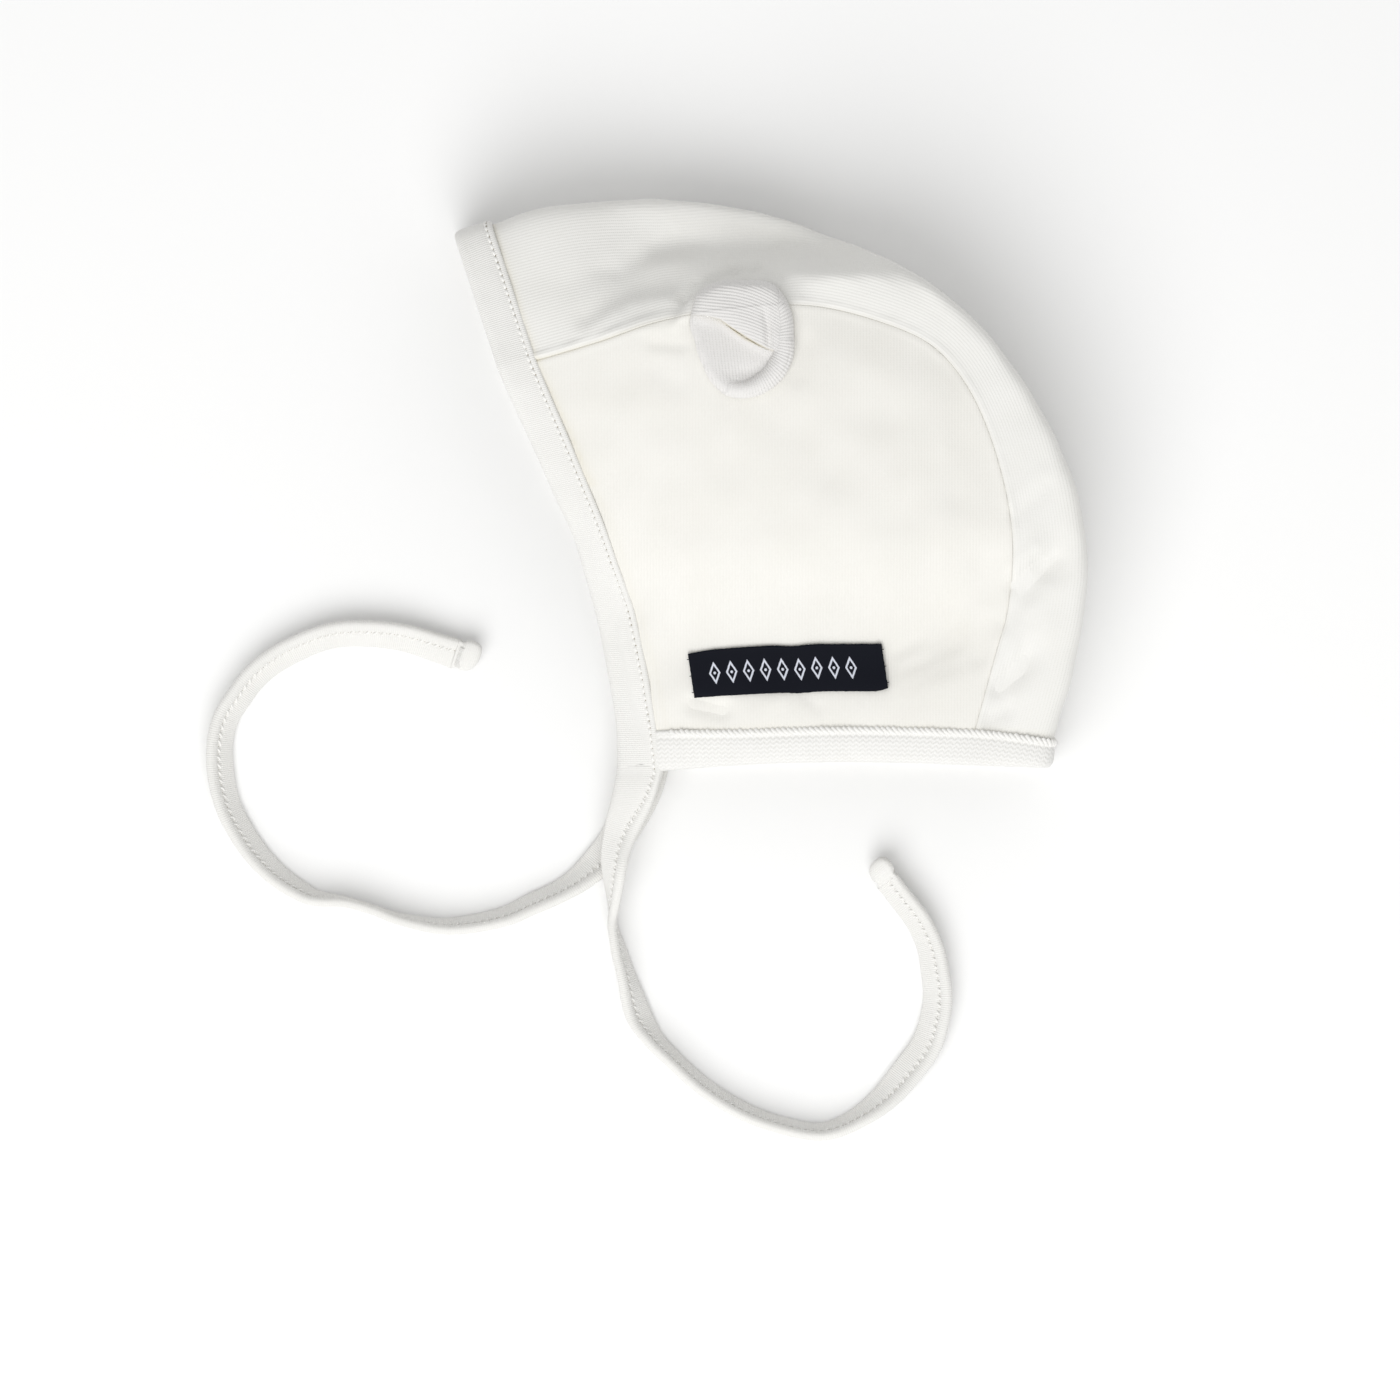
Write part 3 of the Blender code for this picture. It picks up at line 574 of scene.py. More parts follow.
def valleys(x, y, table, joined):
    # Joined valleys run on into each other, the others add up where they meet.
    drop = np.zeros_like(x)
    for fromAlong, fromUp, toAlong, toUp, depth, width in table:
        start = np.array([alongHat(fromAlong), upHat(fromUp)])
        run = np.array([alongHat(toAlong), upHat(toUp)]) - start
        share = np.clip(((x - start[0]) * run[0] + (y - start[1]) * run[1]) / (run @ run), 0, 1)
        apart = np.hypot(x - start[0] - share * run[0], y - start[1] - share * run[1])
        valley = depth * mm * bell(apart, 0, width * mm)
        drop = np.maximum(drop, valley) if joined else drop + valley
    return drop


def layOutHat():
    table = smoothCurve(hat["sections"], hat["cellsPerRow"])
    seam = np.column_stack([alongHat(table[:, 0]), upHat(table[:, 1]), riseHat(table[:, 4])])
    outline = np.column_stack([alongHat(table[:, 2]), upHat(table[:, 3])])
    corner = hat["cornerRow"] * hat["cellsPerRow"]
    backCells = len(seam) - 1 - corner
    face = edgeCurve(hat["faceEdge"], backCells + 1)
    neck = edgeCurve(hat["neckEdge"], corner + 1)

    # The near side: a sheet between its four edges, swollen in its middle.
    across = np.linspace(0, 1, corner + 1)[:, None, None]
    over = np.linspace(0, 1, backCells + 1)[None, :, None]
    top, back = seam[:corner + 1], seam[corner:][::-1]
    corners = (1 - across) * ((1 - over) * neck[0] + over * top[0])
    corners = corners + across * ((1 - over) * neck[-1] + over * top[-1])
    near = (1 - over) * neck[:, None] + over * top[:, None] - corners
    near = relaxed(near + (1 - across) * face[None] + across * back[None])
    dome = relaxed(np.zeros(near.shape[:2]), 1.0)
    near[..., 2] += hat["sideSwell"] * dome / dome.max()

    # How far the cloth lies inside the bindings, and over the ear that is trapped below.
    legReach = hat["seamGap"] + hat["bindingWall"]
    width = max(bindings["faceWidth"], bindings["neckWidth"])
    shares = np.linspace(0, 1, hat["edgePoints"])[:, None]
    front = seam[0, :2] + shares * (outline[0] - seam[0, :2])
    nape = seam[-1, :2] + shares * (outline[-1] - seam[-1, :2])
    edges = np.vstack([smoothCurve(face[:, :2], 3), front, smoothCurve(neck[:, :2], 3), nape])

    def underBinding(x, y):
        beyond = distanceTo(x, y, edges) - width - 2 * hat["seamGap"]
        return legReach * (1 - smoothStep(beyond / width))

    def farHeight(x, y):
        fade = (earShare(x, y) - ear["liftFull"]) / (ear["liftNone"] - ear["liftFull"])
        overEar = (ear["farThickness"] + 3 * hat["seamGap"]) * (1 - smoothStep(fade))
        return hat["wall"] / 2 + np.maximum(underBinding(x, y), overEar)

    far = near.copy()
    far[..., 2] = farHeight(far[..., 0], far[..., 1])

    # The centre panel, round the crown line in sections that are squarer than an ellipse.
    reach = outline - seam[:, :2]
    inside = hat["wall"] / 2 + underBinding(outline[:, 0], outline[:, 1])
    reach = reach - unit(reach) * inside[:, None]
    low = farHeight(seam[:, 0], seam[:, 1])
    middle, half = (seam[:, 2] + low) / 2, (seam[:, 2] - low) / 2
    turn = np.linspace(0, math.pi, hat["turnSteps"] + 1)
    centre = []
    for k in range(len(seam)):
        square, lean, start, end, drop = table[k, 5:]
        out = np.sin(turn) ** (2 / square)
        level = np.sign(np.cos(turn)) * np.abs(np.cos(turn)) ** (2 / square)
        plan = seam[k, :2] + out[:, None] * reach[k]
        fallen = drop * smoothStep((out - start) / (end - start))
        step = (lean * out ** hat["leanPower"] + fallen) * mm
        step = step * np.maximum(level, 0)
        section = np.column_stack([plan, middle[k] + half[k] * level - step])
        centre.append(evenly(section, hat["cellsAround"] + 1))
    centre = np.array(centre)

    near[..., 2] -= valleys(near[..., 0], near[..., 1], hat["folds"], True)
    upper = smoothStep((centre[..., 2] - middle[:, None]) / half[:, None] * 2)
    centre[..., 2] -= valleys(centre[..., 0], centre[..., 1], hat["folds"], True) * upper
    for side, line in ((near, 0), (far, hat["cellsAround"])):
        centre[:corner + 1, line] = side[:, -1]
        centre[corner:, line] = side[-1, ::-1]

    turned = [gridNormals(near), gridNormals(centre), gridNormals(far, -1)]
    for side, line in ((turned[0], 0), (turned[2], hat["cellsAround"])):
        both = turned[1][:, line].copy()
        both[:corner + 1] += side[:, -1]
        both[corner + 1:] += side[-1, ::-1][1:]
        turned[1][:, line] = both
        side[:, -1] = both[:corner + 1]
        side[-1, ::-1] = both[corner:]
    nearTurned, centreTurned, farTurned = (unit(total) for total in turned)
    return {
        "near": (near, nearTurned),
        "centre": (centre, centreTurned),
        "far": (far, farTurned),
        "corner": corner,
        "backCells": backCells,
        "neckSpacing": np.linalg.norm(np.diff(neck, axis=0), axis=1).mean(),
    }


# The finer cloth of the panels: cell counts, how much closer the cells lie at the seams, the seam
# itself, and small creases in millimetres, where a depth below zero is a ridge.
cloth = {
    "sideCells": (150, 126),
    "centreCellsAround": 84,
    "farCells": (66, 57),
    "closer": 0.62,
    "edgeInset": 0.25,
    "seamDepth": 0.24,
    "seamWidth": 0.36,
    "seamRoll": 0.30,
    "seamRollAt": 1.2,
    "seamRollWidth": 0.8,
    "sideRoll": 0.25,
    "centreRoll": 0.55,
    "frontRoll": 1.1,
    # Seam and creases fade where the cloth turns away from the top.
    "topGain": 3,
    "topFrom": 0.4,
    # Behind the ear the seam is flatter: how much of it is left, from where, and how fast it fades.
    "quietSeam": 0.35,
    "quietFrom": 0.40,
    "quietFade": 0.03,
    # seed, waves, shortest and longest wave
    "pucker": (4, 5, 0.004, 0.011),
    "puckerDepth": 0.35,
    "ripple": (7, 14, 0.012, 0.040),
    "rippleDepth": 0.19,
    # How strong the painted warm shade is beside each lip and in the seam, and how many millimetres
    # far it reaches.
    "lipShade": 0.30,
    "lipReaches": (0.8, 0.5),
    "seamShade": 0.26,
    "seamReach": 0.45,
    # from along, from up, to along, to up, depth, width
    "creases": [
        (0.212, 0.766, 0.258, 0.799, -0.80, 2.7),
        (0.288, 0.811, 0.340, 0.819, -0.90, 2.7),
        (0.214, 0.792, 0.266, 0.834, 0.60, 3.2),
        (0.296, 0.845, 0.355, 0.850, 0.60, 3.4),
        (0.266, 0.874, 0.318, 0.909, 0.90, 3.5),
        (0.346, 0.925, 0.398, 0.925, 1.00, 3.3),
        (0.430, 0.920, 0.577, 0.921, 0.80, 3.4),
        (0.516, 0.886, 0.577, 0.895, 0.60, 3.0),
        (0.887, 0.448, 0.936, 0.498, 0.50, 2.4),
        (0.878, 0.470, 0.925, 0.520, -0.30, 2.2),
        (0.884, 0.328, 0.945, 0.374, 1.30, 2.5),
        (0.880, 0.365, 0.915, 0.395, -0.45, 1.8),
        (0.870, 0.262, 0.922, 0.348, 1.00, 3.0),
        (0.862, 0.150, 0.890, 0.178, 1.70, 3.0),
        (0.902, 0.205, 0.908, 0.262, 0.80, 3.2),
        (0.846, 0.095, 0.875, 0.111, 1.20, 2.5),
        (0.830, 0.200, 0.836, 0.262, 0.55, 2.6),
        (0.700, 0.205, 0.765, 0.262, 0.22, 1.8),
        (0.720, 0.185, 0.800, 0.222, 0.22, 1.7),
        (0.715, 0.150, 0.800, 0.185, 0.20, 1.7),
        (0.740, 0.235, 0.806, 0.290, -0.20, 1.8),
        (0.320, 0.745, 0.362, 0.742, 0.55, 1.8),
        (0.305, 0.768, 0.358, 0.774, -0.35, 1.6),
        (0.325, 0.700, 0.352, 0.675, 0.50, 3.6),
        (0.352, 0.776, 0.365, 0.790, -0.55, 1.3),
        (0.365, 0.790, 0.378, 0.812, -0.75, 1.3),
        (0.378, 0.812, 0.394, 0.836, -0.75, 1.3),
        (0.394, 0.836, 0.415, 0.850, -0.45, 1.3),
        (0.356, 0.800, 0.368, 0.824, 0.80, 1.5),
        (0.368, 0.824, 0.386, 0.846, 1.00, 1.6),
        (0.386, 0.846, 0.412, 0.860, 0.90, 1.6),
        (0.412, 0.862, 0.445, 0.873, 0.90, 1.7),
        (0.445, 0.873, 0.480, 0.875, 0.80, 1.7),
        (0.480, 0.875, 0.515, 0.864, 0.60, 1.7),
        (0.545, 0.690, 0.552, 0.740, 0.60, 3.4),
        (0.575, 0.237, 0.587, 0.237, 0.45, 3.4),
        (0.495, 0.226, 0.507, 0.224, 0.35, 3.0),
        (0.378, 0.120, 0.426, 0.108, 1.60, 2.4),
        (0.553, 0.135, 0.578, 0.112, 0.40, 1.5),
        (0.500, 0.118, 0.520, 0.124, -0.25, 1.8),
        (0.704, 0.208, 0.740, 0.232, 0.25, 1.8),
        (0.706, 0.172, 0.745, 0.190, 0.22, 1.8),
        (0.770, 0.330, 0.776, 0.640, -0.16, 2.6),
    ],
}


def paintedWarmShade(x, y, lips, seam):
    # How much painted warm shade the cloth gets beside a lip or in the seam.
    reaches = zip(lips, cloth["lipReaches"])
    besides = [np.exp(-distanceTo(x, y, lip) / mm / reach) for lip, reach in reaches]
    inSeam = bell(distanceTo(x, y, seam) / mm, 0, cloth["seamReach"])
    return cloth["lipShade"] * np.maximum(*besides) + cloth["seamShade"] * inSeam


def makePanels(skin, lips, jersey, centreJersey):
    half = hat["wall"] / 2
    corner, backCells, inset = skin["corner"], skin["backCells"], cloth["edgeInset"]
    sideColumns = closerAtEnd(corner - inset, cloth["sideCells"][0], cloth["closer"]) + inset
    sideRows = closerAtEnd(backCells - inset, cloth["sideCells"][1], cloth["closer"]) + inset
    centreColumns = np.concatenate([sideColumns, corner + backCells - sideRows[::-1][1:]])
    share = np.linspace(0, 1, cloth["centreCellsAround"] + 1)
    swing = np.sin(2 * math.pi * share) / (2 * math.pi)
    centreRows = hat["cellsAround"] * (share - cloth["closer"] * swing)

    near = [finer(grid, sideColumns, sideRows) for grid in skin["near"]]
    centre = [finer(grid, centreColumns, centreRows) for grid in skin["centre"]]
    seam = centre[0][:, 0]
    quiet = cloth["quietSeam"]

    def inFront(x, y):
        return smoothStep((alongHat(cloth["quietFrom"]) - x) / cloth["quietFade"]) * (y > 0)

    frontSeam = inFront(seam[:, 0], seam[:, 1])[:, None]
    upperSides, shades = [], []
    for grid, turned in (near, centre):
        x, y = grid[..., 0], grid[..., 1]
        turned = unit(turned)
        apart = distanceTo(x, y, seam[:, :2]) / mm
        isSide = grid is near[0]
        plain = quiet + (1 - quiet) * (inFront(x, y) if isSide else frontSeam)
        strength = cloth["sideRoll"]
        if not isSide:
            strength = cloth["centreRoll"] + cloth["frontRoll"] * frontSeam
        onTop = smoothStep(turned[..., 2] * cloth["topGain"] + cloth["topFrom"])
        groove = cloth["seamDepth"] * plain * bell(apart, 0, cloth["seamWidth"])
        pucker = 1 + cloth["puckerDepth"] * ripple(x, y, *cloth["pucker"])
        roll = bell(apart, cloth["seamRollAt"], cloth["seamRollWidth"])
        roll *= cloth["seamRoll"] * strength * pucker
        small = valleys(x, y, cloth["creases"], False) / mm
        uneven = cloth["rippleDepth"] * ripple(x, y, *cloth["ripple"])
        lift = (roll - groove - small + uneven) * onTop * mm
        upperSides.append(grid + turned * (half + lift)[..., None])
        # Painted warm shade beside the bindings' lips and along the seam.
        shades.append(paintedWarmShade(x, y, lips, seam[:, :2]) * onTop * plain)
    nearOuter, centreOuter = upperSides

    inner = near[0] - unit(near[1]) * half
    piece = clothWall("nearSideCloth", nearOuter, inner, nearOuter[..., :2] / mm, jersey, "jersey",
                      "side_panel_near", paintedShade=shades[0])

    length = travelled(centre[0][:, centre[0].shape[1] // 4]) / mm
    around = aroundOf(centre[0])
    weave = np.dstack([around, np.broadcast_to(length[:, None], around.shape)])
    inner = centre[0] - unit(centre[1]) * half
    piece = clothWall("centreCloth", centreOuter, inner, weave, centreJersey, "jersey",
                      "centre_panel", paintedShade=shades[1])

    columns = np.linspace(inset, corner, cloth["farCells"][0] + 1)
    rows = np.linspace(inset, backCells, cloth["farCells"][1] + 1)
    grid, turned = (finer(part, columns, rows) for part in skin["far"])
    turned = unit(turned)
    outer, inner = grid + turned * half, grid - turned * half
    piece = clothWall("farSideCloth", outer, inner, grid[..., :2] / mm, jersey, "jersey",
                      "side_panel_far")
    plainSides = [grid + unit(turned) * half for grid, turned in (near, centre)]
    return treeOf(nearOuter, centreOuter), treeOf(*plainSides)


# Bindings, each as far as it reaches over the cloth and its upper side from the lip outwards.
bindings = {
    "faceWidth": 0.0108,
    "neckWidth": 0.0098,
    # How much wider they are at the chin and narrower at their middle, and how far that goes.
    "faceChanges": (0.0026, 0.070, 0.0, 0.010),
    "neckChanges": (0.0016, 0.032, 0.0024, 0.036),
    "stepsAlong": 7,
    # How deep the binding's own waves are, with their seed, number, shortest and longest.
    "waveDepth": 0.07,
    "waves": (11, 6, 0.006, 0.016),
    "wavesAbove": 0.002,
    "wavesFade": 0.01,
    # distance from the lip and height over the middle of the cloth, in millimetres
    "faceLip": [
        (0.00, 0.55), (0.02, 0.90), (0.12, 1.28), (0.50, 1.56), (0.95, 1.60), (1.35, 1.46),
        (1.65, 1.22), (1.95, 1.22), (2.30, 1.42), (3.10, 1.60), (5.00, 1.74),
    ],
    "neckLip": [
        (0.00, 0.55), (0.02, 0.95), (0.15, 1.28), (0.50, 1.46), (1.10, 1.46), (1.50, 1.34),
        (1.80, 1.22), (2.05, 1.22), (2.40, 1.36), (3.00, 1.54), (4.60, 1.74),
    ],
    # distance from the folded edge and height, in millimetres
    "edge": [(2.7, 1.78), (1.9, 1.70), (1.2, 1.52), (0.6, 1.20), (0.2, 0.74), (0.0, 0.25)],
    "inside": [(0.3, 0.72), (0.6, 0.76)],
    "insideEdge": [(3.0, 0.76), (1.6, 0.64), (1.05, 0.25)],
    "faceStitchAt": 1.80,
    "neckRopeAt": 0.80,
    # The neck binding's ends lie flatter, and so far over the face binding's lip, in millimetres.
    # Its own rows start a share of their spacing behind that lip.
    "neckTucked": 0.55,
    "neckStarts": (-1.6, 0.15),
    "neckBehind": 0.4,
}


def inwardLine(points, normals, tangent):
    slant = np.linalg.norm(np.cross(unit(points[1] - points[0]), tangent))
    reach = travelled(points) * slant

    def at(distance, offset):
        point = np.array([np.interp(distance, reach, column) for column in points.T])
        normal = unit(np.array([np.interp(distance, reach, column) for column in normals.T]))
        return point + normal * offset
    return at


def inwardLines(points, normals):
    tangents = unit(np.gradient(points[:, 0], axis=0))
    return [inwardLine(*parts) for parts in zip(points, normals, tangents)]


def upperProfile(width, lip):
    outer = [(width - distance * mm, height * mm) for distance, height in lip]
    return outer + [(distance * mm, height * mm) for distance, height in bindings["edge"]]


def bindingRing(line, width, lip, squeeze=1.0):
    outer = upperProfile(width, lip)
    inner = [(width - distance * mm, height * mm) for distance, height in bindings["inside"]]
    inner += [(distance * mm, height * mm) for distance, height in bindings["insideEdge"]]
    ring = outer + [(distance, -height) for distance, height in reversed(outer)]
    ring += [(distance, -height) for distance, height in inner]
    ring += [(distance, height) for distance, height in reversed(inner)]
    return [line(distance, height * squeeze) for distance, height in ring]


def changedWidths(lines, width, changes):
    along = travelled(np.array([line(0.0, 0.0) for line in lines]))
    wider, wideTo, narrower, narrowTo = changes
    fromEnd = np.minimum(along, along[-1] - along)
    fromMiddle = abs(along - along[-1] / 2)
    return (width + wider * (1 - smoothStep(fromEnd / wideTo))
            - narrower * (1 - smoothStep(fromMiddle / narrowTo)))


def makeBinding(name, lines, widths, lip, material, node, tucked=1.0):
    squeezes = [tucked] + [1.0] * (len(lines) - 2) + [tucked]
    parts = zip(lines, widths, squeezes)
    rings = np.array([bindingRing(line, width, lip, squeeze) for line, width, squeeze in parts])
    places = np.linspace(0, len(lines) - 1, (len(lines) - 1) * bindings["stepsAlong"] + 1)
    sections = between(rings, places)
    wobble = ripple(sections[..., 0], sections[..., 1], *bindings["waves"])
    onTop = smoothStep((sections[..., 2] - bindings["wavesAbove"]) / bindings["wavesFade"])
    sections[..., 2] += bindings["waveDepth"] * mm * wobble * onTop
    return loft(name, sections, ringWeave(sections), material, "rib_binding", node), places


def lipLine(lines, places, widths):
    return between(np.array([line(width, 0.0)[:2] for line, width in zip(lines, widths)]), places)


def bindingRails(lines, places, widths, lip, stitchAt):
    # Where stitches lie on both legs, and the way they face.
    level = np.interp(stitchAt, *np.array(lip).T) * mm
    reaches = widths - stitchAt * mm
    rails = []
    for side in (1, -1):
        low = np.array([line(reach, side * level) for line, reach in zip(lines, reaches)])
        high = np.array([line(reach, side * (level + mm)) for line, reach in zip(lines, reaches)])
        rails.append((between(low, places), unit(between(high - low, places))))
    return rails


def fromFace(grid):
    return grid.transpose(1, 0, 2)[:, :hat["edgeRows"]]


def layOutBindings(skin):
    near, centre, far = skin["near"], skin["centre"], skin["far"]
    faceWidth = bindings["faceWidth"] + bindings["faceChanges"][0]
    face = []
    for start, middle, end in zip(near, centre, far):
        face.append(np.vstack([fromFace(start), fromFace(middle)[1:-1], fromFace(end)[::-1]]))
    faceLines = inwardLines(*face)

    # The neck binding starts and ends tucked under the face binding's lip.
    first = math.ceil((faceWidth + hat["seamGap"]) / skin["neckSpacing"] + bindings["neckBehind"])
    parts = []
    for k in (0, 1):
        starts = []
        for side in (near, far):
            lines = inwardLines(fromFace(side[0]), fromFace(side[1]))[:hat["edgeRows"]]
            for reach in (faceWidth + start * mm for start in bindings["neckStarts"]):
                low = np.array([line(reach, 0.0) for line in lines])
                high = np.array([line(reach, 1.0) for line in lines])
                starts.append(low if k == 0 else high - low)
        parts.append(np.vstack([
            starts[0][None],
            starts[1][None],
            near[k][first:, :hat["edgeRows"]],
            fromFace(centre[k][::-1])[1:-1],
            far[k][first:, :hat["edgeRows"]][::-1],
            starts[3][None],
            starts[2][None],
        ]))
    neckLines = inwardLines(*parts)

    # The first two sections at the chin, from the fold to the lip and back. The ties grow there.
    widths = changedWidths(faceLines, bindings["faceWidth"], bindings["faceChanges"])
    roots = []
    for picked, side in (((0, 1), 1), ((-1, -2), -1)):
        pair = []
        for k in picked:
            line, profile = faceLines[k], upperProfile(widths[k], bindings["faceLip"])
            upper = [line(distance, side * height) for distance, height in reversed(profile)]
            lower = [line(distance, -side * height) for distance, height in profile]
            pair.append(upper + lower)
        roots.append(np.array(pair))
    return faceLines, neckLines, roots


def makeBindings(faceLines, neckLines, faceRib, neckRib):
    faceLip, neckLip = bindings["faceLip"], bindings["neckLip"]
    widths = changedWidths(faceLines, bindings["faceWidth"], bindings["faceChanges"])
    piece, places = makeBinding("faceBinding", faceLines, widths, faceLip, faceRib, "face_binding")
    faceRails = bindingRails(faceLines, places, widths, faceLip, bindings["faceStitchAt"])
    faceLipLine = lipLine(faceLines, places, widths)
    widths = changedWidths(neckLines, bindings["neckWidth"], bindings["neckChanges"])
    piece, places = makeBinding("neckBinding", neckLines, widths, neckLip, neckRib, "neck_binding",
                                bindings["neckTucked"])
    neckLipLine = lipLine(neckLines, places, widths)
    shown = slice(2 * bindings["stepsAlong"], -2 * bindings["stepsAlong"])
    ropeRails = bindingRails(neckLines, places[shown], widths, neckLip, bindings["neckRopeAt"])
    return faceRails, ropeRails, (faceLipLine, neckLipLine)


# The near ear is one stuffed pillow, its heights over the cloth in millimetres.
ear = {
    "width": 0.0285,
    "length": 0.0315,
    "middle": (0.4580, 0.7515),
    "farThickness": 0.0045,
    "cells": (264, 76),
    "closerAtRim": 1.3,
    "liftFull": 0.80,
    "liftNone": 1.47,
    # degrees from +X, reach as a share of half the sizes, how much of the rolled rim is there and
    # the roll's width in millimetres
    "outline": [
        (6, 0.96, 1.00, 5.0), (38, 1.06, 0.80, 4.6), (58, 1.12, 0.45, 4.4), (88, 1.02, 0.12, 4.0),
        (120, 1.13, 0.0, 4.0), (137, 1.19, 0.0, 4.0), (150, 1.10, 0.0, 4.0),
        (165, 1.04, 0.0, 4.0), (182, 0.90, 0.0, 4.0), (209, 0.87, 0.05, 4.0),
        (236, 0.95, 0.36, 4.2), (251, 1.00, 0.70, 4.6), (272, 1.00, 0.90, 4.9),
        (297, 0.99, 1.05, 5.5), (322, 1.00, 1.08, 5.9), (350, 0.98, 1.03, 5.4),
    ],
    # The line of the slit under the flap, from the ear's middle: X, Y in millimetres and how deep
    # the slit is there.
    "slit": [
        (-15.5, 6.4, 0.0), (-13.8, 6.6, 0.10), (-9.9, 6.3, 0.16), (-6.0, 5.3, 0.45),
        (-3.4, 3.4, 1.0), (0.9, 0.56, 1.2), (4.3, -1.4, 1.0), (6.6, -2.5, 0.5),
        (8.2, -2.8, 0.0), (16.0, -3.0, 0.0),
    ],
    "slitWidth": 0.17,
    "slitSlope": 0.85,
    "flapBase": 3.3,
    "flapRoll": 0.5,
    "flapRollAt": 2.6,
    "flapRollWide": 3.6,
    # The valley between the flap and the rim: X and Y in millimetres, and its depth.
    "flapValley": [
        (5.4, 9.5, 0.0), (6.0, 7.0, 0.7), (6.7, 3.0, 1.3), (7.0, -1.0, 1.5), (6.9, -3.5, 1.2),
    ],
    "flapValleyWidth": 1.1,
    # The step between the flap and the lower part, which climbs again from so far below the slit.
    "step": 0.3,
    "lowerBase": 1.0,
    "lowerRise": 0.7,
    "lowerReach": 2.0,
    "lowerClimb": 0.17,
    "lowerClimbFrom": 2,
    "flapEdge": 3.6,
    "lowerEdge": 2.4,
    "thinnest": 0.3,
    "rimHeight": 3.6,
    "rimFoot": 0.8,
    "rimRadius": 13.4,
    # The hollow under the rim: X, Y, half length, half width and depth.
    "hollow": (1.6, -9.0, 5.5, 2.4, 0.9),
    # The rim's seam: distance from the outline, depth, and between which angles it shows.
    "seamAt": 0.95,
    "seamDepth": 0.45,
    "seamWidth": 0.30,
    "seamFade": 12,
    "seamFrom": 268,
    "seamTo": 352,
    "blend": 0.55,
    # How strong the painted warm shade is in the slit, and in the band of the lower part that the
    # flap shades.
    "slitShade": 0.65,
    "slitShadeGain": 1.2,
    "flapShade": 0.42,
    "flapShadeReach": 1.5,
    # The ear spans the dent behind the seam, from so many millimetres inside the seam, falls by a
    # share of the way out, and comes down to the cloth over its last millimetres.
    "bridgeFrom": 1.3,
    "bridge": 0.12,
    "bridgeEdge": 2.2,
    "bridgeReach": 0.7,
    "bridgePoints": 40,
    # How the weave of the flap bends and leans, from where, and how that of the lower part leans.
    "weaveBend": 0.02,
    "weaveBendFrom": 4,
    "weaveLean": 0.10,
    "lowerLean": 0.12,
    # The trapped ear's shares from its middle to its rim and back, and how round its edge is.
    "farShares": (0.3, 0.6, 0.8, 0.9, 0.96, 1.0, 0.96, 0.9, 0.8, 0.6, 0.3),
    "farRound": 0.78,
    "farEdge": 0.35,
    "farRim": 0.62,
}


def earReach(angle):
    degrees, *columns = np.array(ear["outline"]).T
    turned = np.degrees(angle) % 360
    return [np.interp(turned, degrees, column, period=360) for column in columns]


def earShare(x, y):
    side = (x - alongHat(ear["middle"][0])) / (ear["width"] / 2)
    height = (y - upHat(ear["middle"][1])) / (ear["length"] / 2)
    return np.hypot(side, height) / earReach(np.arctan2(height, side))[0]


def rounded(apart, wide):
    # A quarter circle from 0 at the outline to 1 so far inside it.
    return np.sqrt(1 - (1 - np.clip(apart / wide, 0, 1)) ** 2)


def cushionFaces(rings, around, start=0, tips=None):
    # Rings from the middle of one side round to the middle of the other, each closed to a tip.
    top, bottom = tips or (rings * around, rings * around + 1)
    faces = ringCells(rings, around, start).tolist()
    last = start + (rings - 1) * around
    for k in range(around):
        step = (k + 1) % around
        faces.append((top, start + k, start + step))
        faces.append((bottom, last + step, last + k))
    return faces


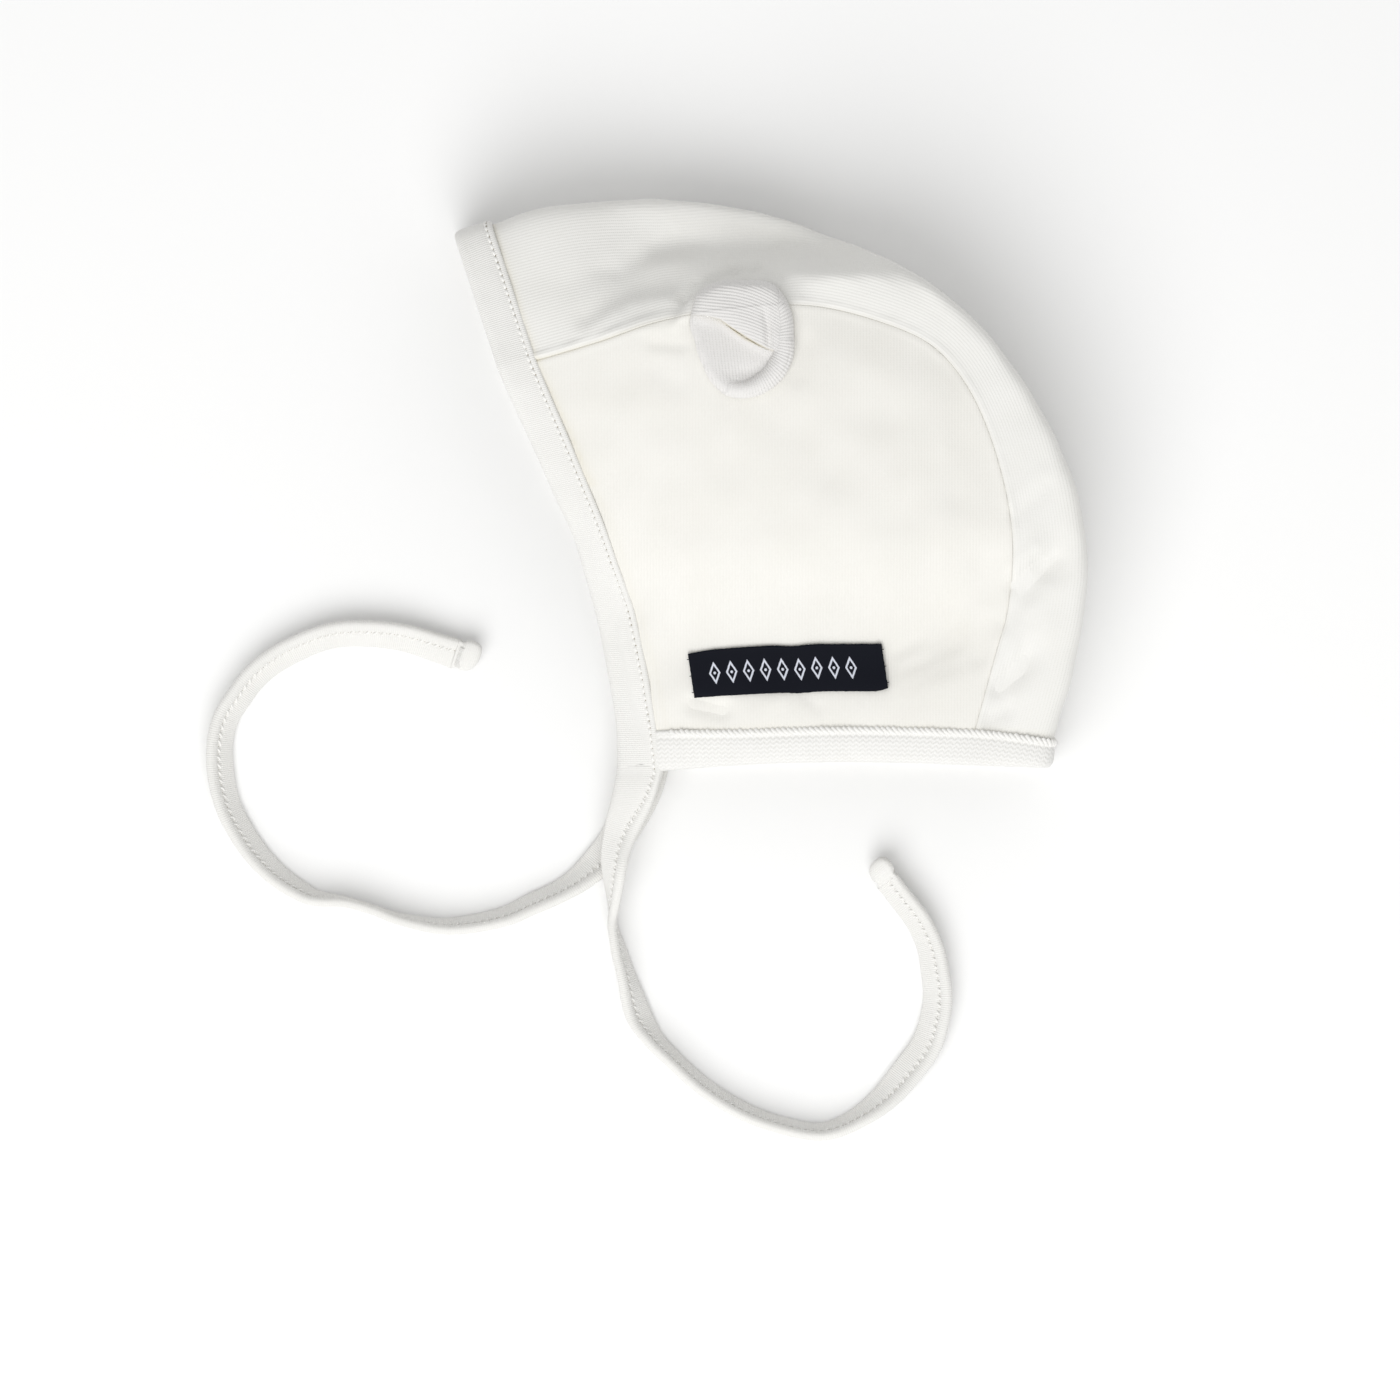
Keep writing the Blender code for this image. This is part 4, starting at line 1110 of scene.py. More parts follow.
def makeNearEar(ground, jersey):
    spokes, steps = ear["cells"]
    angles = np.linspace(0, 2 * math.pi, spokes, endpoint=False)
    reach, rim, rollWidth = earReach(angles)
    shares = 1 - (1 - np.linspace(0, 1, steps + 1)[1:]) ** ear["closerAtRim"]
    side = np.outer(shares, reach * np.cos(angles)) * ear["width"] / 2 / mm
    height = np.outer(shares, reach * np.sin(angles)) * ear["length"] / 2 / mm
    apart = (1 - shares)[:, None] * np.hypot(side[-1], height[-1])

    # The flap above the slit, with a valley at its right end, and the lower part below the slit.
    slitSide, slitHeight, slitDepth = np.array(ear["slit"]).T
    above = (height - np.interp(side, slitSide, slitHeight)) * ear["slitSlope"]
    flap = ear["flapBase"] + ear["flapRoll"] * bell(above, ear["flapRollAt"], ear["flapRollWide"])
    valleySide, valleyHeight, valleyDepth = np.array(ear["flapValley"])[::-1].T
    valleyX = np.interp(height, valleyHeight, valleySide)
    valley = np.interp(height, valleyHeight, valleyDepth)
    flap -= valley * bell(side, valleyX, ear["flapValleyWidth"])
    flap *= rounded(apart, ear["flapEdge"])
    lower = ear["lowerBase"] + ear["lowerRise"] * bell(np.minimum(above, 0), 0, ear["lowerReach"])
    lower += ear["lowerClimb"] * np.maximum(-above - ear["lowerClimbFrom"], 0)
    hollowX, hollowY, hollowLong, hollowWide, hollowDeep = ear["hollow"]
    hollowX, hollowY = (side - hollowX) / hollowLong, (height - hollowY) / hollowWide
    lower -= hollowDeep * np.exp(-hollowX ** 2 - hollowY ** 2)
    lower *= rounded(apart, ear["lowerEdge"])
    body = lower + (flap - lower) * smoothStep(above / ear["step"] + 0.5)
    slit = np.interp(side, slitSide, slitDepth) * bell(above, 0, ear["slitWidth"])
    body = np.maximum(body - slit, ear["thinnest"])

    # The rolled rim with its seam.
    across = (apart - rollWidth / 2) / (rollWidth / 2)
    rolled = ear["rimFoot"] + ear["rimHeight"] * np.sqrt(np.clip(1 - across ** 2, 0, 1))
    rolled *= np.where(apart < rollWidth, rim, 0.0)
    degrees = np.degrees(angles)
    sewn = smoothStep((degrees - ear["seamFrom"]) / ear["seamFade"])
    sewn *= smoothStep((ear["seamTo"] - degrees) / ear["seamFade"])
    rolled -= ear["seamDepth"] * sewn * bell(apart, ear["seamAt"], ear["seamWidth"])
    onRim = rolled > body
    pile = (body + rolled + np.hypot(body - rolled, ear["blend"] * (rolled > 0))) / 2
    # Painted warm shade: dark in the slit, and a band of the lower part under the flap.
    band = bell(np.maximum(-above, 0), 0, ear["flapShadeReach"])
    band *= (above < 0) * np.clip(slit.max(axis=0), 0, 1)
    dark = ear["slitShade"] * np.clip(ear["slitShadeGain"] * slit, 0, 1)
    shaded = np.maximum(dark, ear["flapShade"] * band) * ~onRim

    # The dent that the stuffed ear spans.
    middleX, middleY = placeOf(ear)
    seamX, seamY = np.array([(alongHat(row[0]), upHat(row[1])) for row in hat["sections"][:9]]).T
    seamY = seamY - ear["bridgeFrom"] * mm
    acrossEar = np.linspace(-ear["bridgeReach"], ear["bridgeReach"], ear["bridgePoints"])
    acrossEar = middleX + acrossEar * ear["width"]
    crests = [heightOn(ground, x, np.interp(x, seamX, seamY)) for x in acrossEar]
    beyond = np.maximum(middleY + height * mm - np.interp(middleX + side * mm, seamX, seamY), 0)
    spanned = np.interp(middleX + side * mm, acrossEar, crests) + hat["seamGap"]
    spanned = np.where(beyond > 0, spanned - ear["bridge"] * beyond, 0)
    spans = rounded(apart, ear["bridgeEdge"])
    points, under = [], []
    for i in range(steps):
        for j in range(spokes):
            x, y = middleX + side[i, j] * mm, middleY + height[i, j] * mm
            level = heightOn(ground, x, y) + hat["seamGap"]
            lift = max(spanned[i, j] - level, 0.0) * spans[i, j]
            points.append((x, y, level + lift + pile[i, j] * mm))
            if i in (steps // 3, steps - 4):
                under.append((x, y, level))
    level = heightOn(ground, middleX, middleY)
    top = level + hat["seamGap"] + pile[0].mean() * mm
    tips = [(middleX, middleY, top), (middleX, middleY, level)]
    rings = np.array(points + under[spokes:] + under[:spokes] + tips)

    bend = ear["weaveBend"] * np.maximum(side + ear["weaveBendFrom"], 0) ** 2
    flapWeave = np.dstack([height + bend + ear["weaveLean"] * side, side])
    lowerWeave = np.dstack([side + ear["lowerLean"] * height, height])
    rimWeave = np.dstack([np.broadcast_to(angles * ear["rimRadius"], side.shape), apart])
    weave = np.where((above > 0)[..., None], flapWeave, lowerWeave)
    weave = np.where(onRim[..., None], rimWeave, weave).reshape(-1, 2)
    weave = np.concatenate([weave, np.zeros((2 * spokes + 2, 2))])
    paintedShade = np.concatenate([shaded.ravel(), np.zeros(2 * spokes + 2)])
    faces = cushionFaces(steps + 2, spokes)
    pad = makePiece("nearEarPad", rings, faces, weave, jersey, "jersey", "ear_near", paintedShade=paintedShade)


def makeFarEar(skin, jersey):
    grids = [grid + turned * hat["wall"] / 2 for grid, turned in (skin["far"], skin["centre"])]
    tree = treeOf(*grids)
    angles = np.linspace(0, 2 * math.pi, ear["cells"][0] // 4, endpoint=False)
    reach = earReach(angles)[0]
    middleX, middleY = placeOf(ear)
    rimAt = ear["farShares"].index(1.0)
    points = [(middleX, middleY, heightOn(tree, middleX, middleY, -1) - 2 * hat["seamGap"]),
              (middleX, middleY, 0)]
    for k, share in enumerate(ear["farShares"]):
        curled = smoothStep((share - ear["farRound"]) / (1 - ear["farRound"]))
        for angle, far in zip(angles, reach):
            x = middleX + share * far * math.cos(angle) * ear["width"] / 2
            y = middleY + share * far * math.sin(angle) * ear["length"] / 2
            top = heightOn(tree, x, y, -1) - 2 * hat["seamGap"]
            edge = curled * top * ear["farEdge"]
            z = top - edge if k < rimAt else edge
            points.append((x, y, top * ear["farRim"] if k == rimAt else z))
    faces = cushionFaces(len(ear["farShares"]), len(angles), 2, (0, 1))
    weave = np.array(points)[:, :2] / mm
    pad = makePiece("farEarPad", points, faces, weave, jersey, "jersey", "ear_far")


label = {
    "width": 0.0522,
    "height": 0.0120,
    "middle": (0.529, 0.177),
    "turn": math.radians(2.9),
    "lean": 0.095,
    "thickness": 0.0006,
    "clear": 0.0003,
    "fray": 0.05,
    "turnedEnd": 1.0,
    "turnedRise": 0.5,
    "turnedFade": 0.8,
    "cells": (104, 24),
    "endStitchesFrom": 3,
    # share along, how far the top edge and the bottom edge bow up, in millimetres
    "edges": [
        (0.00, 0.0, 0.0), (0.14, 0.80, 0.15), (0.42, 1.05, 0.20), (0.54, 0.62, -0.15),
        (0.66, 0.85, 0.0), (0.82, 0.45, -0.40), (0.94, 0.15, -0.65), (1.00, 0.0, 0.0),
    ],
    "marks": 9,
    "marksFrom": 0.08,
    "marksTo": 0.87,
    "markUp": 2.9,
    "markAcross": 1.55,
    "markLine": 0.17,
    "dot": 0.36,
    "dark": (0.006, 0.007, 0.012, 1),
    "thread": (0.72, 0.75, 0.84, 1),
    "threadTone": (0.08, 0.90),
    "twillPitch": 0.42,
    "weftPitch": 0.30,
    "weftAside": 0.05,
    "weftRise": 0.5,
    "markRise": 2.0,
    "relief": (0.30, 0.00012),
    "roughness": 0.72,
    "specular": 0.10,
}


def labelMaterial():
    # A dense twill with a plain row of lozenges and dots in pale thread.
    material, tree, shader = newMaterial("woven label", label["dark"], label["roughness"])
    across, up = weaveOf(tree)
    width, height = label["width"] / mm, label["height"] / mm
    twill = wave(tree, calc(tree, "ADD", across, up), label["twillPitch"])
    weft = wave(tree, up, label["weftPitch"])
    start, end = label["marksFrom"] * width, label["marksTo"] * width
    spacing = (end - start) / label["marks"]
    run = calc(tree, "DIVIDE", calc(tree, "SUBTRACT", across, start), spacing)
    side = calc(tree, "MULTIPLY", calc(tree, "SUBTRACT", calc(tree, "FRACT", run), 0.5), spacing)
    side = calc(tree, "ABSOLUTE", calc(tree, "MULTIPLY_ADD", weft, label["weftAside"], side))
    level = calc(tree, "ABSOLUTE", calc(tree, "SUBTRACT", up, height / 2))
    sideShare = calc(tree, "DIVIDE", side, label["markAcross"])
    lozenge = calc(tree, "MULTIPLY_ADD", level, 1 / label["markUp"], sideShare)
    outline = calc(tree, "ABSOLUTE", calc(tree, "SUBTRACT", lozenge, 1 - label["markLine"]))
    outline = calc(tree, "LESS_THAN", outline, label["markLine"])
    reach = calc(tree, "SQRT", calc(tree, "ADD", calc(tree, "MULTIPLY", side, side),
                                    calc(tree, "MULTIPLY", level, level)))
    dot = calc(tree, "LESS_THAN", reach, label["dot"])
    inside = calc(tree, "MULTIPLY", calc(tree, "GREATER_THAN", run, 0.0),
                  calc(tree, "LESS_THAN", run, label["marks"]))
    mark = calc(tree, "MULTIPLY", calc(tree, "MAXIMUM", outline, dot), inside)
    mark = calc(tree, "MULTIPLY", mark, calc(tree, "MULTIPLY_ADD", weft, *label["threadTone"]))
    colour = blendColours(tree, mark, label["dark"], label["thread"])
    tree.links.new(colour, shader.inputs["Base Color"])
    relief = calc(tree, "MULTIPLY_ADD", weft, label["weftRise"], twill)
    relief = calc(tree, "MULTIPLY_ADD", mark, label["markRise"], relief)
    bump(tree, shader, relief, *label["relief"])
    shader.inputs["Specular IOR Level"].default_value = label["specular"]
    return material


def makeLabel(tree, woven):
    columns, rows = label["cells"]
    shares, tops, bottoms = smoothCurve(label["edges"], 6).T
    middleX, middleY = placeOf(label)
    dice = np.random.default_rng(3)
    fray = dice.uniform(-label["fray"], label["fray"], (4, max(columns, rows) + 1))
    lower = np.zeros((columns + 1, rows + 1, 3))
    weave = np.zeros((columns + 1, rows + 1, 2))
    for i, share in enumerate(np.linspace(0, 1, columns + 1)):
        top = label["height"] / 2 + (np.interp(share, shares, tops) + fray[0, i]) * mm
        bottom = -label["height"] / 2 + (np.interp(share, shares, bottoms) + fray[1, i]) * mm
        for j, level in enumerate(np.linspace(0, 1, rows + 1)):
            height = bottom + (top - bottom) * level
            side = (share - 0.5) * label["width"] - height * label["lean"]
            side += (fray[2, j] * (1 - share) + fray[3, j] * share) * mm
            x = middleX + side * math.cos(label["turn"]) - height * math.sin(label["turn"])
            y = middleY + side * math.sin(label["turn"]) + height * math.cos(label["turn"])
            lower[i, j] = (x, y, heightOn(tree, x, y) + label["clear"])
            weave[i, j] = (share * label["width"] / mm, level * label["height"] / mm)
    edge = np.minimum(np.linspace(0, 1, columns + 1), np.linspace(1, 0, columns + 1))
    beyond = smoothStep((edge * label["width"] / mm - label["turnedEnd"]) / label["turnedFade"])
    fold = 1 + label["turnedRise"] * (1 - beyond)
    upper = lower.copy()
    upper[..., 2] += label["thickness"] * fold[:, None]
    piece = clothWall("wovenLabel", upper, lower, weave, woven, "woven_label", "label")
    middle = (upper + lower) / 2
    shown = slice(label["endStitchesFrom"], -label["endStitchesFrom"])
    ends = (middle[0, shown], middle[-1, shown])
    return [(line, np.broadcast_to([0.0, 0.0, 1.0], line.shape)) for line in ends]


# The ties' routes follow the frame's, from the chin corners to the folded ends. Clear is the
# height of the band's lower side, and tilt its turn about its own line: at 0 it lies flat with its
# stitched edge on the outer side, and at 90 degrees it stands with that edge up.
ties = {
    "width": 0.0090,
    "rootWidth": 0.0104,
    "thickness": 0.0022,
    "stations": 230,
    "rootStations": 20,
    # Two rings of the sleeve lie so deep inside the face binding, the third closes over its end.
    "sleeve": ((0.0028, 0.96), (0.0012, 1.02), (0.0, 1.025)),
    "rootFade": 0.12,
    "rootThicker": 0.5,
    "tipGap": 0.0003,
    # The tack: so many millimetres along the tip, to each side and up.
    "tack": (0.9, 2.9, 1.45),
    "tipThickness": 0.0042,
    "tipAround": 36,
    "tipSquare": 0.25,
    "tipFlat": 0.7,
    # x, y, clear in millimetres, tilt in degrees
    "near": [
        (-35.1, -77.55, 11.4, 180), (-36.9, -84.7, 11.0, 174), (-39.6, -91.7, 10.0, 161),
        (-41.4, -98.2, 8.9, 146), (-42.1, -103.6, 7.8, 132), (-42.4, -109.2, 4.6, 114),
        (-42.5, -114.1, 1.4, 97), (-42.3, -118.7, 0.2, 86), (-40.5, -126.0, 0.0, 72),
        (-38.6, -132.5, 0.0, 66), (-35.6, -142.6, 0.0, 46), (-31.5, -149.4, 0.0, 60),
        (-26.5, -154.6, 0.0, 66), (-18.2, -162.2, 0.0, 67), (-8.5, -168.4, 0.0, 67),
        (0.7, -172.2, 0.0, 69), (11.2, -174.6, 0.0, 69), (17.8, -174.0, 0.0, 66),
        (25.3, -170.3, 0.0, 58), (31.8, -165.2, 0.0, 42), (37.4, -158.7, 0.0, 28),
        (42.4, -151.9, 0.0, 26), (44.7, -145.4, 0.0, 32), (45.8, -138.4, 0.0, 36),
        (45.0, -131.1, 0.0, 40), (43.6, -124.4, 0.0, 45), (40.4, -117.6, 0.0, 48),
        (36.1, -111.9, 0.0, 50), (32.0, -106.6, 0.0, 50),
    ],
    "far": [
        (-35.2, -77.55, 0.8, 0), (-36.7, -84.9, 0.2, 3), (-39.4, -91.8, 0.0, 6),
        (-43.5, -98.5, 0.0, 10), (-49.9, -105.0, 0.0, 40), (-56.3, -109.4, 0.0, 55),
        (-64.6, -113.2, 0.0, 58), (-72.7, -116.7, 0.0, 64), (-86.8, -119.0, 0.0, 70),
        (-99.7, -117.1, 0.0, 80), (-107.0, -114.6, 0.0, 85), (-115.0, -112.3, 0.0, 83),
        (-121.9, -111.5, 0.0, 73), (-126.2, -110.0, 0.0, 64), (-133.5, -105.2, 0.0, 56),
        (-139.4, -99.0, 0.0, 50), (-143.5, -92.8, 0.0, 48), (-146.7, -86.3, 0.0, 48),
        (-148.6, -78.2, 0.0, 44), (-148.9, -69.8, 0.0, 47), (-147.3, -62.8, 0.0, 48),
        (-144.0, -57.4, 0.0, 48), (-139.2, -51.2, 0.0, 48), (-132.1, -45.8, 0.0, 46),
        (-121.1, -40.9, 0.0, 47), (-111.6, -39.6, 0.0, 45), (-99.7, -40.7, 0.0, 42),
        (-88.9, -43.9, 0.0, 34), (-84.6, -45.3, 0.0, 28),
    ],
    # across the band from its plain edge to its stitched edge, and half the thickness, as shares
    # of half the width and half the thickness; as many rows as the bindings' upper side has
    "section": [
        (-1.00, 0.22), (-0.985, 0.50), (-0.94, 0.72), (-0.85, 0.82), (-0.68, 0.86),
        (-0.45, 0.87), (-0.05, 0.85), (0.10, 0.80), (0.18, 0.64), (0.25, 0.56), (0.32, 0.58),
        (0.40, 0.84), (0.52, 1.06), (0.68, 1.16), (0.84, 1.04), (0.96, 0.70), (1.00, 0.28),
    ],
    # along the tip in millimetres, half width, half thickness, shift across
    "tip": [
        (-0.9, 4.25, 1.00, 0.0), (0.0, 4.20, 1.10, 0.05), (0.45, 3.95, 1.22, 0.15),
        (0.9, 4.10, 1.60, 0.35), (1.5, 4.45, 2.00, 0.50), (2.8, 4.60, 2.15, 0.75),
        (4.2, 4.20, 2.05, 1.00), (5.1, 3.40, 1.75, 1.30), (5.7, 2.30, 1.25, 1.55),
        (5.95, 1.10, 0.65, 1.65),
    ],
}


def standing(tilt, thickness):
    # How far the middle of a tilted band is above its lower side.
    return (ties["width"] * abs(math.sin(tilt)) + thickness * abs(math.cos(tilt))) / 2


def tieLine(route):
    centres, tilts = [], []
    for x, y, clear, degrees in smoothCurve(route, 6):
        tilt = math.radians(degrees)
        centres.append((x * mm, y * mm, clear * mm + standing(tilt, ties["thickness"])))
        tilts.append(tilt)
    line = evenly(np.column_stack([centres, tilts]), ties["stations"])
    centres, tilts = line[:, :3], line[:, 3]
    share = np.linspace(0, 1, ties["stations"])
    rooted = 1 - smoothStep(share / ties["rootFade"])
    widths = ties["width"] + (ties["rootWidth"] - ties["width"]) * rooted
    return centres, tilts, widths


def bandFrame(tangent, turn, tilt):
    outward = unit(turn * np.array([tangent[1], -tangent[0], 0.0]))
    upward = np.cross(tangent, outward) * turn
    upward = upward * np.sign(upward[2])
    wide = math.cos(tilt) * outward + math.sin(tilt) * upward
    return wide, np.cross(tangent, wide)


def bandRing(centre, wide, thick, half, thin):
    sides = np.array(ties["section"])
    upper = [centre + across * half * wide + high * thin * thick for across, high in sides]
    lower = [centre + across * half * wide - high * thin * thick for across, high in sides[::-1]]
    return upper + lower


def makeTie(name, tipName, route, turn, roots, rib, nodes):
    centres, tilts, widths = tieLine(route)
    tangents = unit(np.gradient(centres, axis=0))
    tangents[0] = (0.0, -1.0, 0.0)
    root, inner = roots
    step = (inner - root) / np.linalg.norm((inner - root).mean(axis=0))

    sleeve = []
    for inside, scale in ties["sleeve"]:
        ring = root + step * inside
        sleeve.append(ring.mean(axis=0) + (ring - ring.mean(axis=0)) * scale)
    skinned = sleeve.pop()
    rings, rails = sleeve, ([], [], [], [])
    for k, (centre, tangent, tilt, width) in enumerate(zip(centres, tangents, tilts, widths)):
        wide, thick = bandFrame(tangent, turn, tilt)
        rooted = 1 - smoothStep(k / ties["rootStations"])
        thin = ties["thickness"] / 2 * (1 + ties["rootThicker"] * rooted)
        ring = np.array(bandRing(centre, wide, thick, width / 2, thin))
        if rooted > 0:
            ring = ring + (skinned + centre - centres[0] - ring) * rooted
        rings.append(ring)
        stitchedAt = len(ties["section"]) // 2 + 1
        for side, corner in ((1, ring[stitchedAt]), (-1, ring[-1 - stitchedAt])):
            rails[1 - side].append(corner)
            rails[2 - side].append(thick * side)
    sections = np.array(rings)
    band = loft(name, sections, ringWeave(sections), rib, "rib_binding", nodes[0])

    # The folded end, tacked across.
    heading = unit(tangents[-1] * np.array([1.0, 1.0, 0.0]))
    wide, thick = bandFrame(heading, turn, tilts[-1])
    base = centres[-1] + heading * ties["tipGap"]
    base[2] = standing(tilts[-1], ties["tipThickness"])
    square, flat = ties["tipSquare"], ties["tipFlat"]
    tip = []
    for along, half, thin, shift in smoothCurve(ties["tip"], 3):
        centre = base + heading * along * mm + wide * shift * mm
        ring = []
        for a in np.linspace(0, 2 * math.pi, ties["tipAround"], endpoint=False):
            out = (square * math.cos(a) ** 3 + (1 - square) * math.cos(a)) * half
            up = np.sign(math.sin(a)) * abs(math.sin(a)) ** flat * thin
            ring.append(centre + (out * wide + up * thick) * mm)
        tip.append(ring)
    tip = np.array(tip)
    end = loft(tipName, tip, ringWeave(tip), rib, "rib_binding", nodes[1])
    corner = sections.shape[1] // 2
    along, aside, over = (part * mm for part in ties["tack"])
    tack = [base + heading * along + wide * shift + thick * over for shift in (-aside, aside)]
    tackRail = (np.array(tack), np.array([thick, thick]))
    pair = [(np.array(rails[0]), np.array(rails[1])), (np.array(rails[2]), np.array(rails[3]))]
    return pair, tackRail


# Stitches: short arched threads along rails, one tree for all. A row with a hole has a small dark
# one after each thread, painted shade for the needle hole. Sizes are in metres and turns in
# radians. The first row has every value that the tree takes.
stitches = {
    "faceStitches": {"Pitch": 0.0019, "Stitch Length": 0.0016, "Thread": 0.00082, "Arch": 0.00042,
                     "Slant": 0.18, "Alternate": 0.08, "Hole": 0.00030, "Hole Aside": -0.00034},
    "neckRope": {"Pitch": 0.0015, "Stitch Length": 0.0025, "Thread": 0.00100, "Arch": 0.00022,
                 "Slant": -0.62},
    "tieStitches": {"Pitch": 0.0021, "Stitch Length": 0.0022, "Thread": 0.00064, "Arch": 0.00046,
                    "Slant": 0.9, "Hole": 0.00013},
    "tackStitches": {"Pitch": 0.00042, "Stitch Length": 0.0018, "Thread": 0.00036, "Arch": 0.00030,
                     "Slant": 1.57},
    "labelStitches": {"Pitch": 0.0031, "Stitch Length": 0.0008, "Thread": 0.00026, "Arch": 0.00012,
                      "Slant": 1.57},
}


def stitchTree():
    tree = bpy.data.node_groups.new("stitch rows", "GeometryNodeTree")
    kinds = {"Geometry": "Geometry"}
    kinds.update({name: "Float" for name in stitches["faceStitches"]})
    kinds.update({"Material": "Material", "Hole Shade Material": "Material"})
    for name, kind in kinds.items():
        tree.interface.new_socket(name=name, in_out="INPUT", socket_type="NodeSocket" + kind)
    tree.interface.new_socket(name="Geometry", in_out="OUTPUT", socket_type="NodeSocketGeometry")
    turnedBy, smallest, largest, leastHole = 0.10, 0.90, 1.08, 0.00001
    given = tree.nodes.new("NodeGroupInput").outputs
    curve = add(tree, "GeometryNodeMeshToCurve", {0: given["Geometry"]})
    rail = add(tree, "GeometryNodeResampleCurve", {"Curve": curve, "Length": given["Pitch"]},
               mode="LENGTH")
    lie = add(tree, "GeometryNodeInputNamedAttribute", {"Name": "lie"}, data_type="FLOAT_VECTOR")
    tangent = add(tree, "GeometryNodeInputTangent")
    facing = add(tree, "FunctionNodeAlignRotationToVector", {"Vector": lie}, axis="Z")
    facing = add(tree, "FunctionNodeAlignRotationToVector", {"Rotation": facing, "Vector": tangent},
                 axis="X", pivot_axis="Z")
    index = add(tree, "GeometryNodeInputIndex")
    swing = calc(tree, "MULTIPLY_ADD", calc(tree, "MODULO", index, 2.0), 2.0, -1.0)
    swing = calc(tree, "MULTIPLY_ADD", swing, given["Alternate"], given["Slant"])
    jitter = add(tree, "FunctionNodeRandomValue", {2: -turnedBy, 3: turnedBy, "Seed": 5}, 1,
                 data_type="FLOAT")
    spin = add(tree, "ShaderNodeCombineXYZ", {2: calc(tree, "ADD", swing, jitter)})
    spin = add(tree, "FunctionNodeEulerToRotation", {0: spin})
    turned = add(tree, "FunctionNodeRotateRotation", {0: facing, 1: spin}, rotation_space="LOCAL")
    half = calc(tree, "MULTIPLY", given["Stitch Length"], 0.5)
    sunk = calc(tree, "MULTIPLY", given["Thread"], -0.5)
    start = add(tree, "ShaderNodeCombineXYZ", {0: calc(tree, "MULTIPLY", half, -1.0), 2: sunk})
    middle = add(tree, "ShaderNodeCombineXYZ", {2: calc(tree, "MULTIPLY", given["Arch"], 2.0)})
    end = add(tree, "ShaderNodeCombineXYZ", {0: half, 2: sunk})
    arch = add(tree, "GeometryNodeCurveQuadraticBezier",
               {"Resolution": 6, "Start": start, "Middle": middle, "End": end})
    ring = add(tree, "GeometryNodeCurvePrimitiveCircle",
               {"Resolution": 7, "Radius": calc(tree, "MULTIPLY", given["Thread"], 0.5)})
    thread = add(tree, "GeometryNodeCurveToMesh",
                 {"Curve": arch, "Profile Curve": ring, "Fill Caps": True})
    size = add(tree, "FunctionNodeRandomValue", {2: smallest, 3: largest, "Seed": 9}, 1,
               data_type="FLOAT")
    rows = add(tree, "GeometryNodeInstanceOnPoints",
               {"Points": rail, "Instance": thread, "Rotation": turned, "Scale": size})
    rows = add(tree, "GeometryNodeRealizeInstances", {0: rows})
    rows = add(tree, "GeometryNodeSetMaterial", {"Geometry": rows, "Material": given["Material"]})

    # Painted shade: a small dark dot after each thread stands in for the shade in its needle hole.
    dot = add(tree, "GeometryNodeMeshIcoSphere", {"Radius": given["Hole"], "Subdivisions": 1})
    real = calc(tree, "GREATER_THAN", given["Hole"], leastHole)
    dots = add(tree, "GeometryNodeInstanceOnPoints",
               {"Points": rail, "Selection": real, "Instance": dot, "Rotation": facing})
    shift = add(tree, "ShaderNodeCombineXYZ",
                {0: calc(tree, "MULTIPLY", given["Pitch"], 0.5), 1: given["Hole Aside"]})
    dots = add(tree, "GeometryNodeTranslateInstances",
               {"Instances": dots, "Translation": shift, "Local Space": True})
    dots = add(tree, "GeometryNodeRealizeInstances", {0: dots})
    dots = add(tree, "GeometryNodeSetMaterial",
               {"Geometry": dots, "Material": given["Hole Shade Material"]})

    both = tree.nodes.new("GeometryNodeJoinGeometry")
    tree.links.new(dots, both.inputs[0])
    tree.links.new(rows, both.inputs[0])
    solid = add(tree, "GeometryNodeSetShadeSmooth", {0: both.outputs[0]})
    tree.links.new(solid, tree.nodes.new("NodeGroupOutput").inputs[0])
    return tree


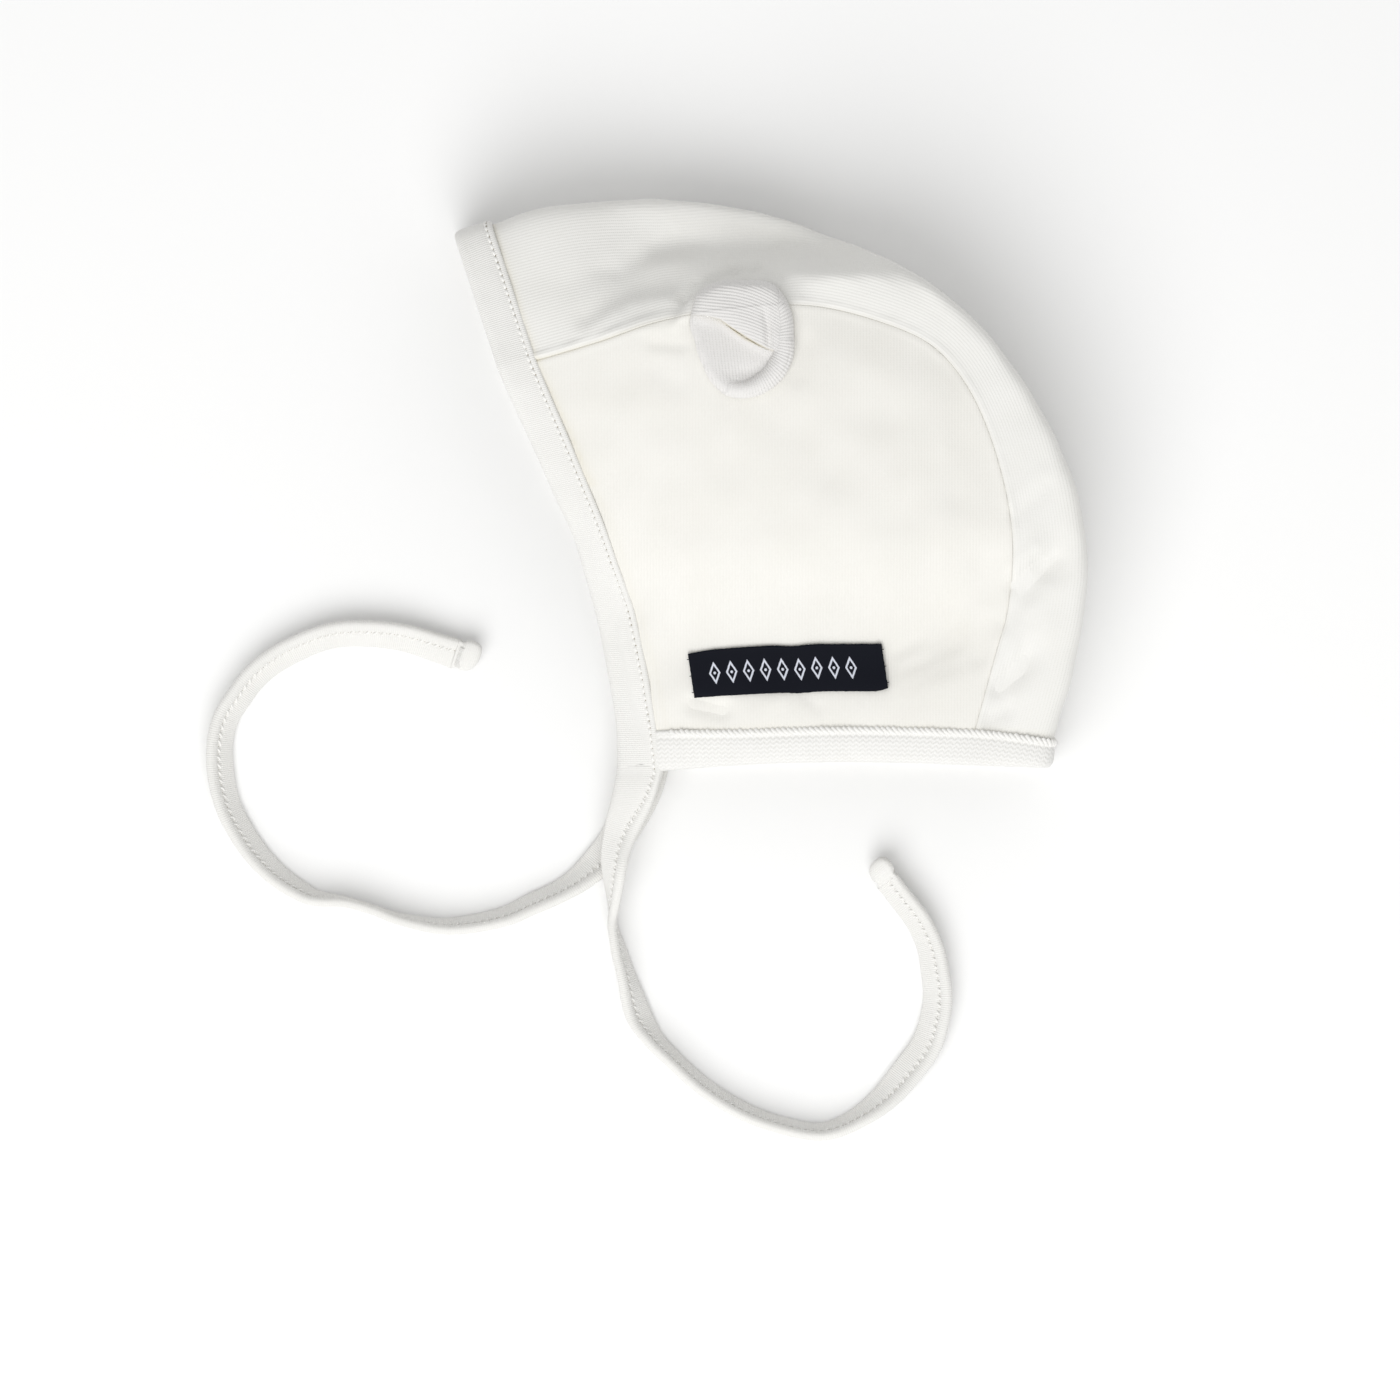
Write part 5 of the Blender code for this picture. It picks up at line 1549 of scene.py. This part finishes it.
def stitched(name, tree, rails, material, slot, holeShade=None):
    points, edges, lies = [], [], []
    for line, lie in rails:
        start = len(points)
        points += np.asarray(line).tolist()
        lies += np.asarray(lie).tolist()
        edges += [(k, k + 1) for k in range(start, len(points) - 1)]
    mesh = bpy.data.meshes.new(name)
    mesh.from_pydata(points, edges, [])
    facing = mesh.attributes.new("lie", "FLOAT_VECTOR", "POINT")
    facing.data.foreach_set("vector", np.array(lies, np.float32).ravel())
    rail = bpy.data.objects.new(name, mesh)
    scene.collection.objects.link(rail)
    modifier = rail.modifiers.new("rows", "NODES")
    modifier.node_group = tree
    given = {**stitches[name], "Material": material, "Hole Shade Material": holeShade or material}
    for socket in tree.interface.items_tree:
        if socket.in_out == "INPUT" and socket.name in given:
            modifier[socket.identifier] = given[socket.name]
    graph = bpy.context.evaluated_depsgraph_get()
    made = bpy.data.meshes.new_from_object(rail.evaluated_get(graph))
    rail.modifiers.clear()
    rail.data = made
    made.name = name
    return dressed(rail, slot)


setUpStudio()
print("studio ready")
jersey, centreJersey, earJersey, faceRib, neckRib = [knitCloth(name) for name in knit["cloths"]]
thread, holeShade, darkThread = [threadMaterial(name) for name in knit["threads"]]
woven = labelMaterial()
print("materials ready")

skin = layOutHat()
faceLines, neckLines, (nearRoot, farRoot) = layOutBindings(skin)
nearPair, nearTack = makeTie("nearTie", "nearTieEnd", ties["near"], 1, nearRoot, faceRib,
                             ("tie_near", "tie_tip_near"))
farPair, farTack = makeTie("farTie", "farTieEnd", ties["far"], -1, farRoot, faceRib,
                           ("tie_far", "tie_tip_far"))
faceRails, ropeRails, lips = makeBindings(faceLines, neckLines, faceRib, neckRib)
above, ground = makePanels(skin, lips, jersey, centreJersey)
makeNearEar(ground, earJersey)
makeFarEar(skin, earJersey)
labelRails = makeLabel(above, woven)
print("cloth ready")

rows = stitchTree()
stitched("faceStitches", rows, faceRails, thread, "rib_binding", holeShade)
stitched("neckRope", rows, ropeRails, thread, "rib_binding")
stitched("tieStitches", rows, nearPair + farPair, thread, "rib_binding", holeShade)
stitched("tackStitches", rows, [nearTack, farTack], thread, "rib_binding")
stitched("labelStitches", rows, labelRails, darkThread, "woven_label")
print("stitches ready")
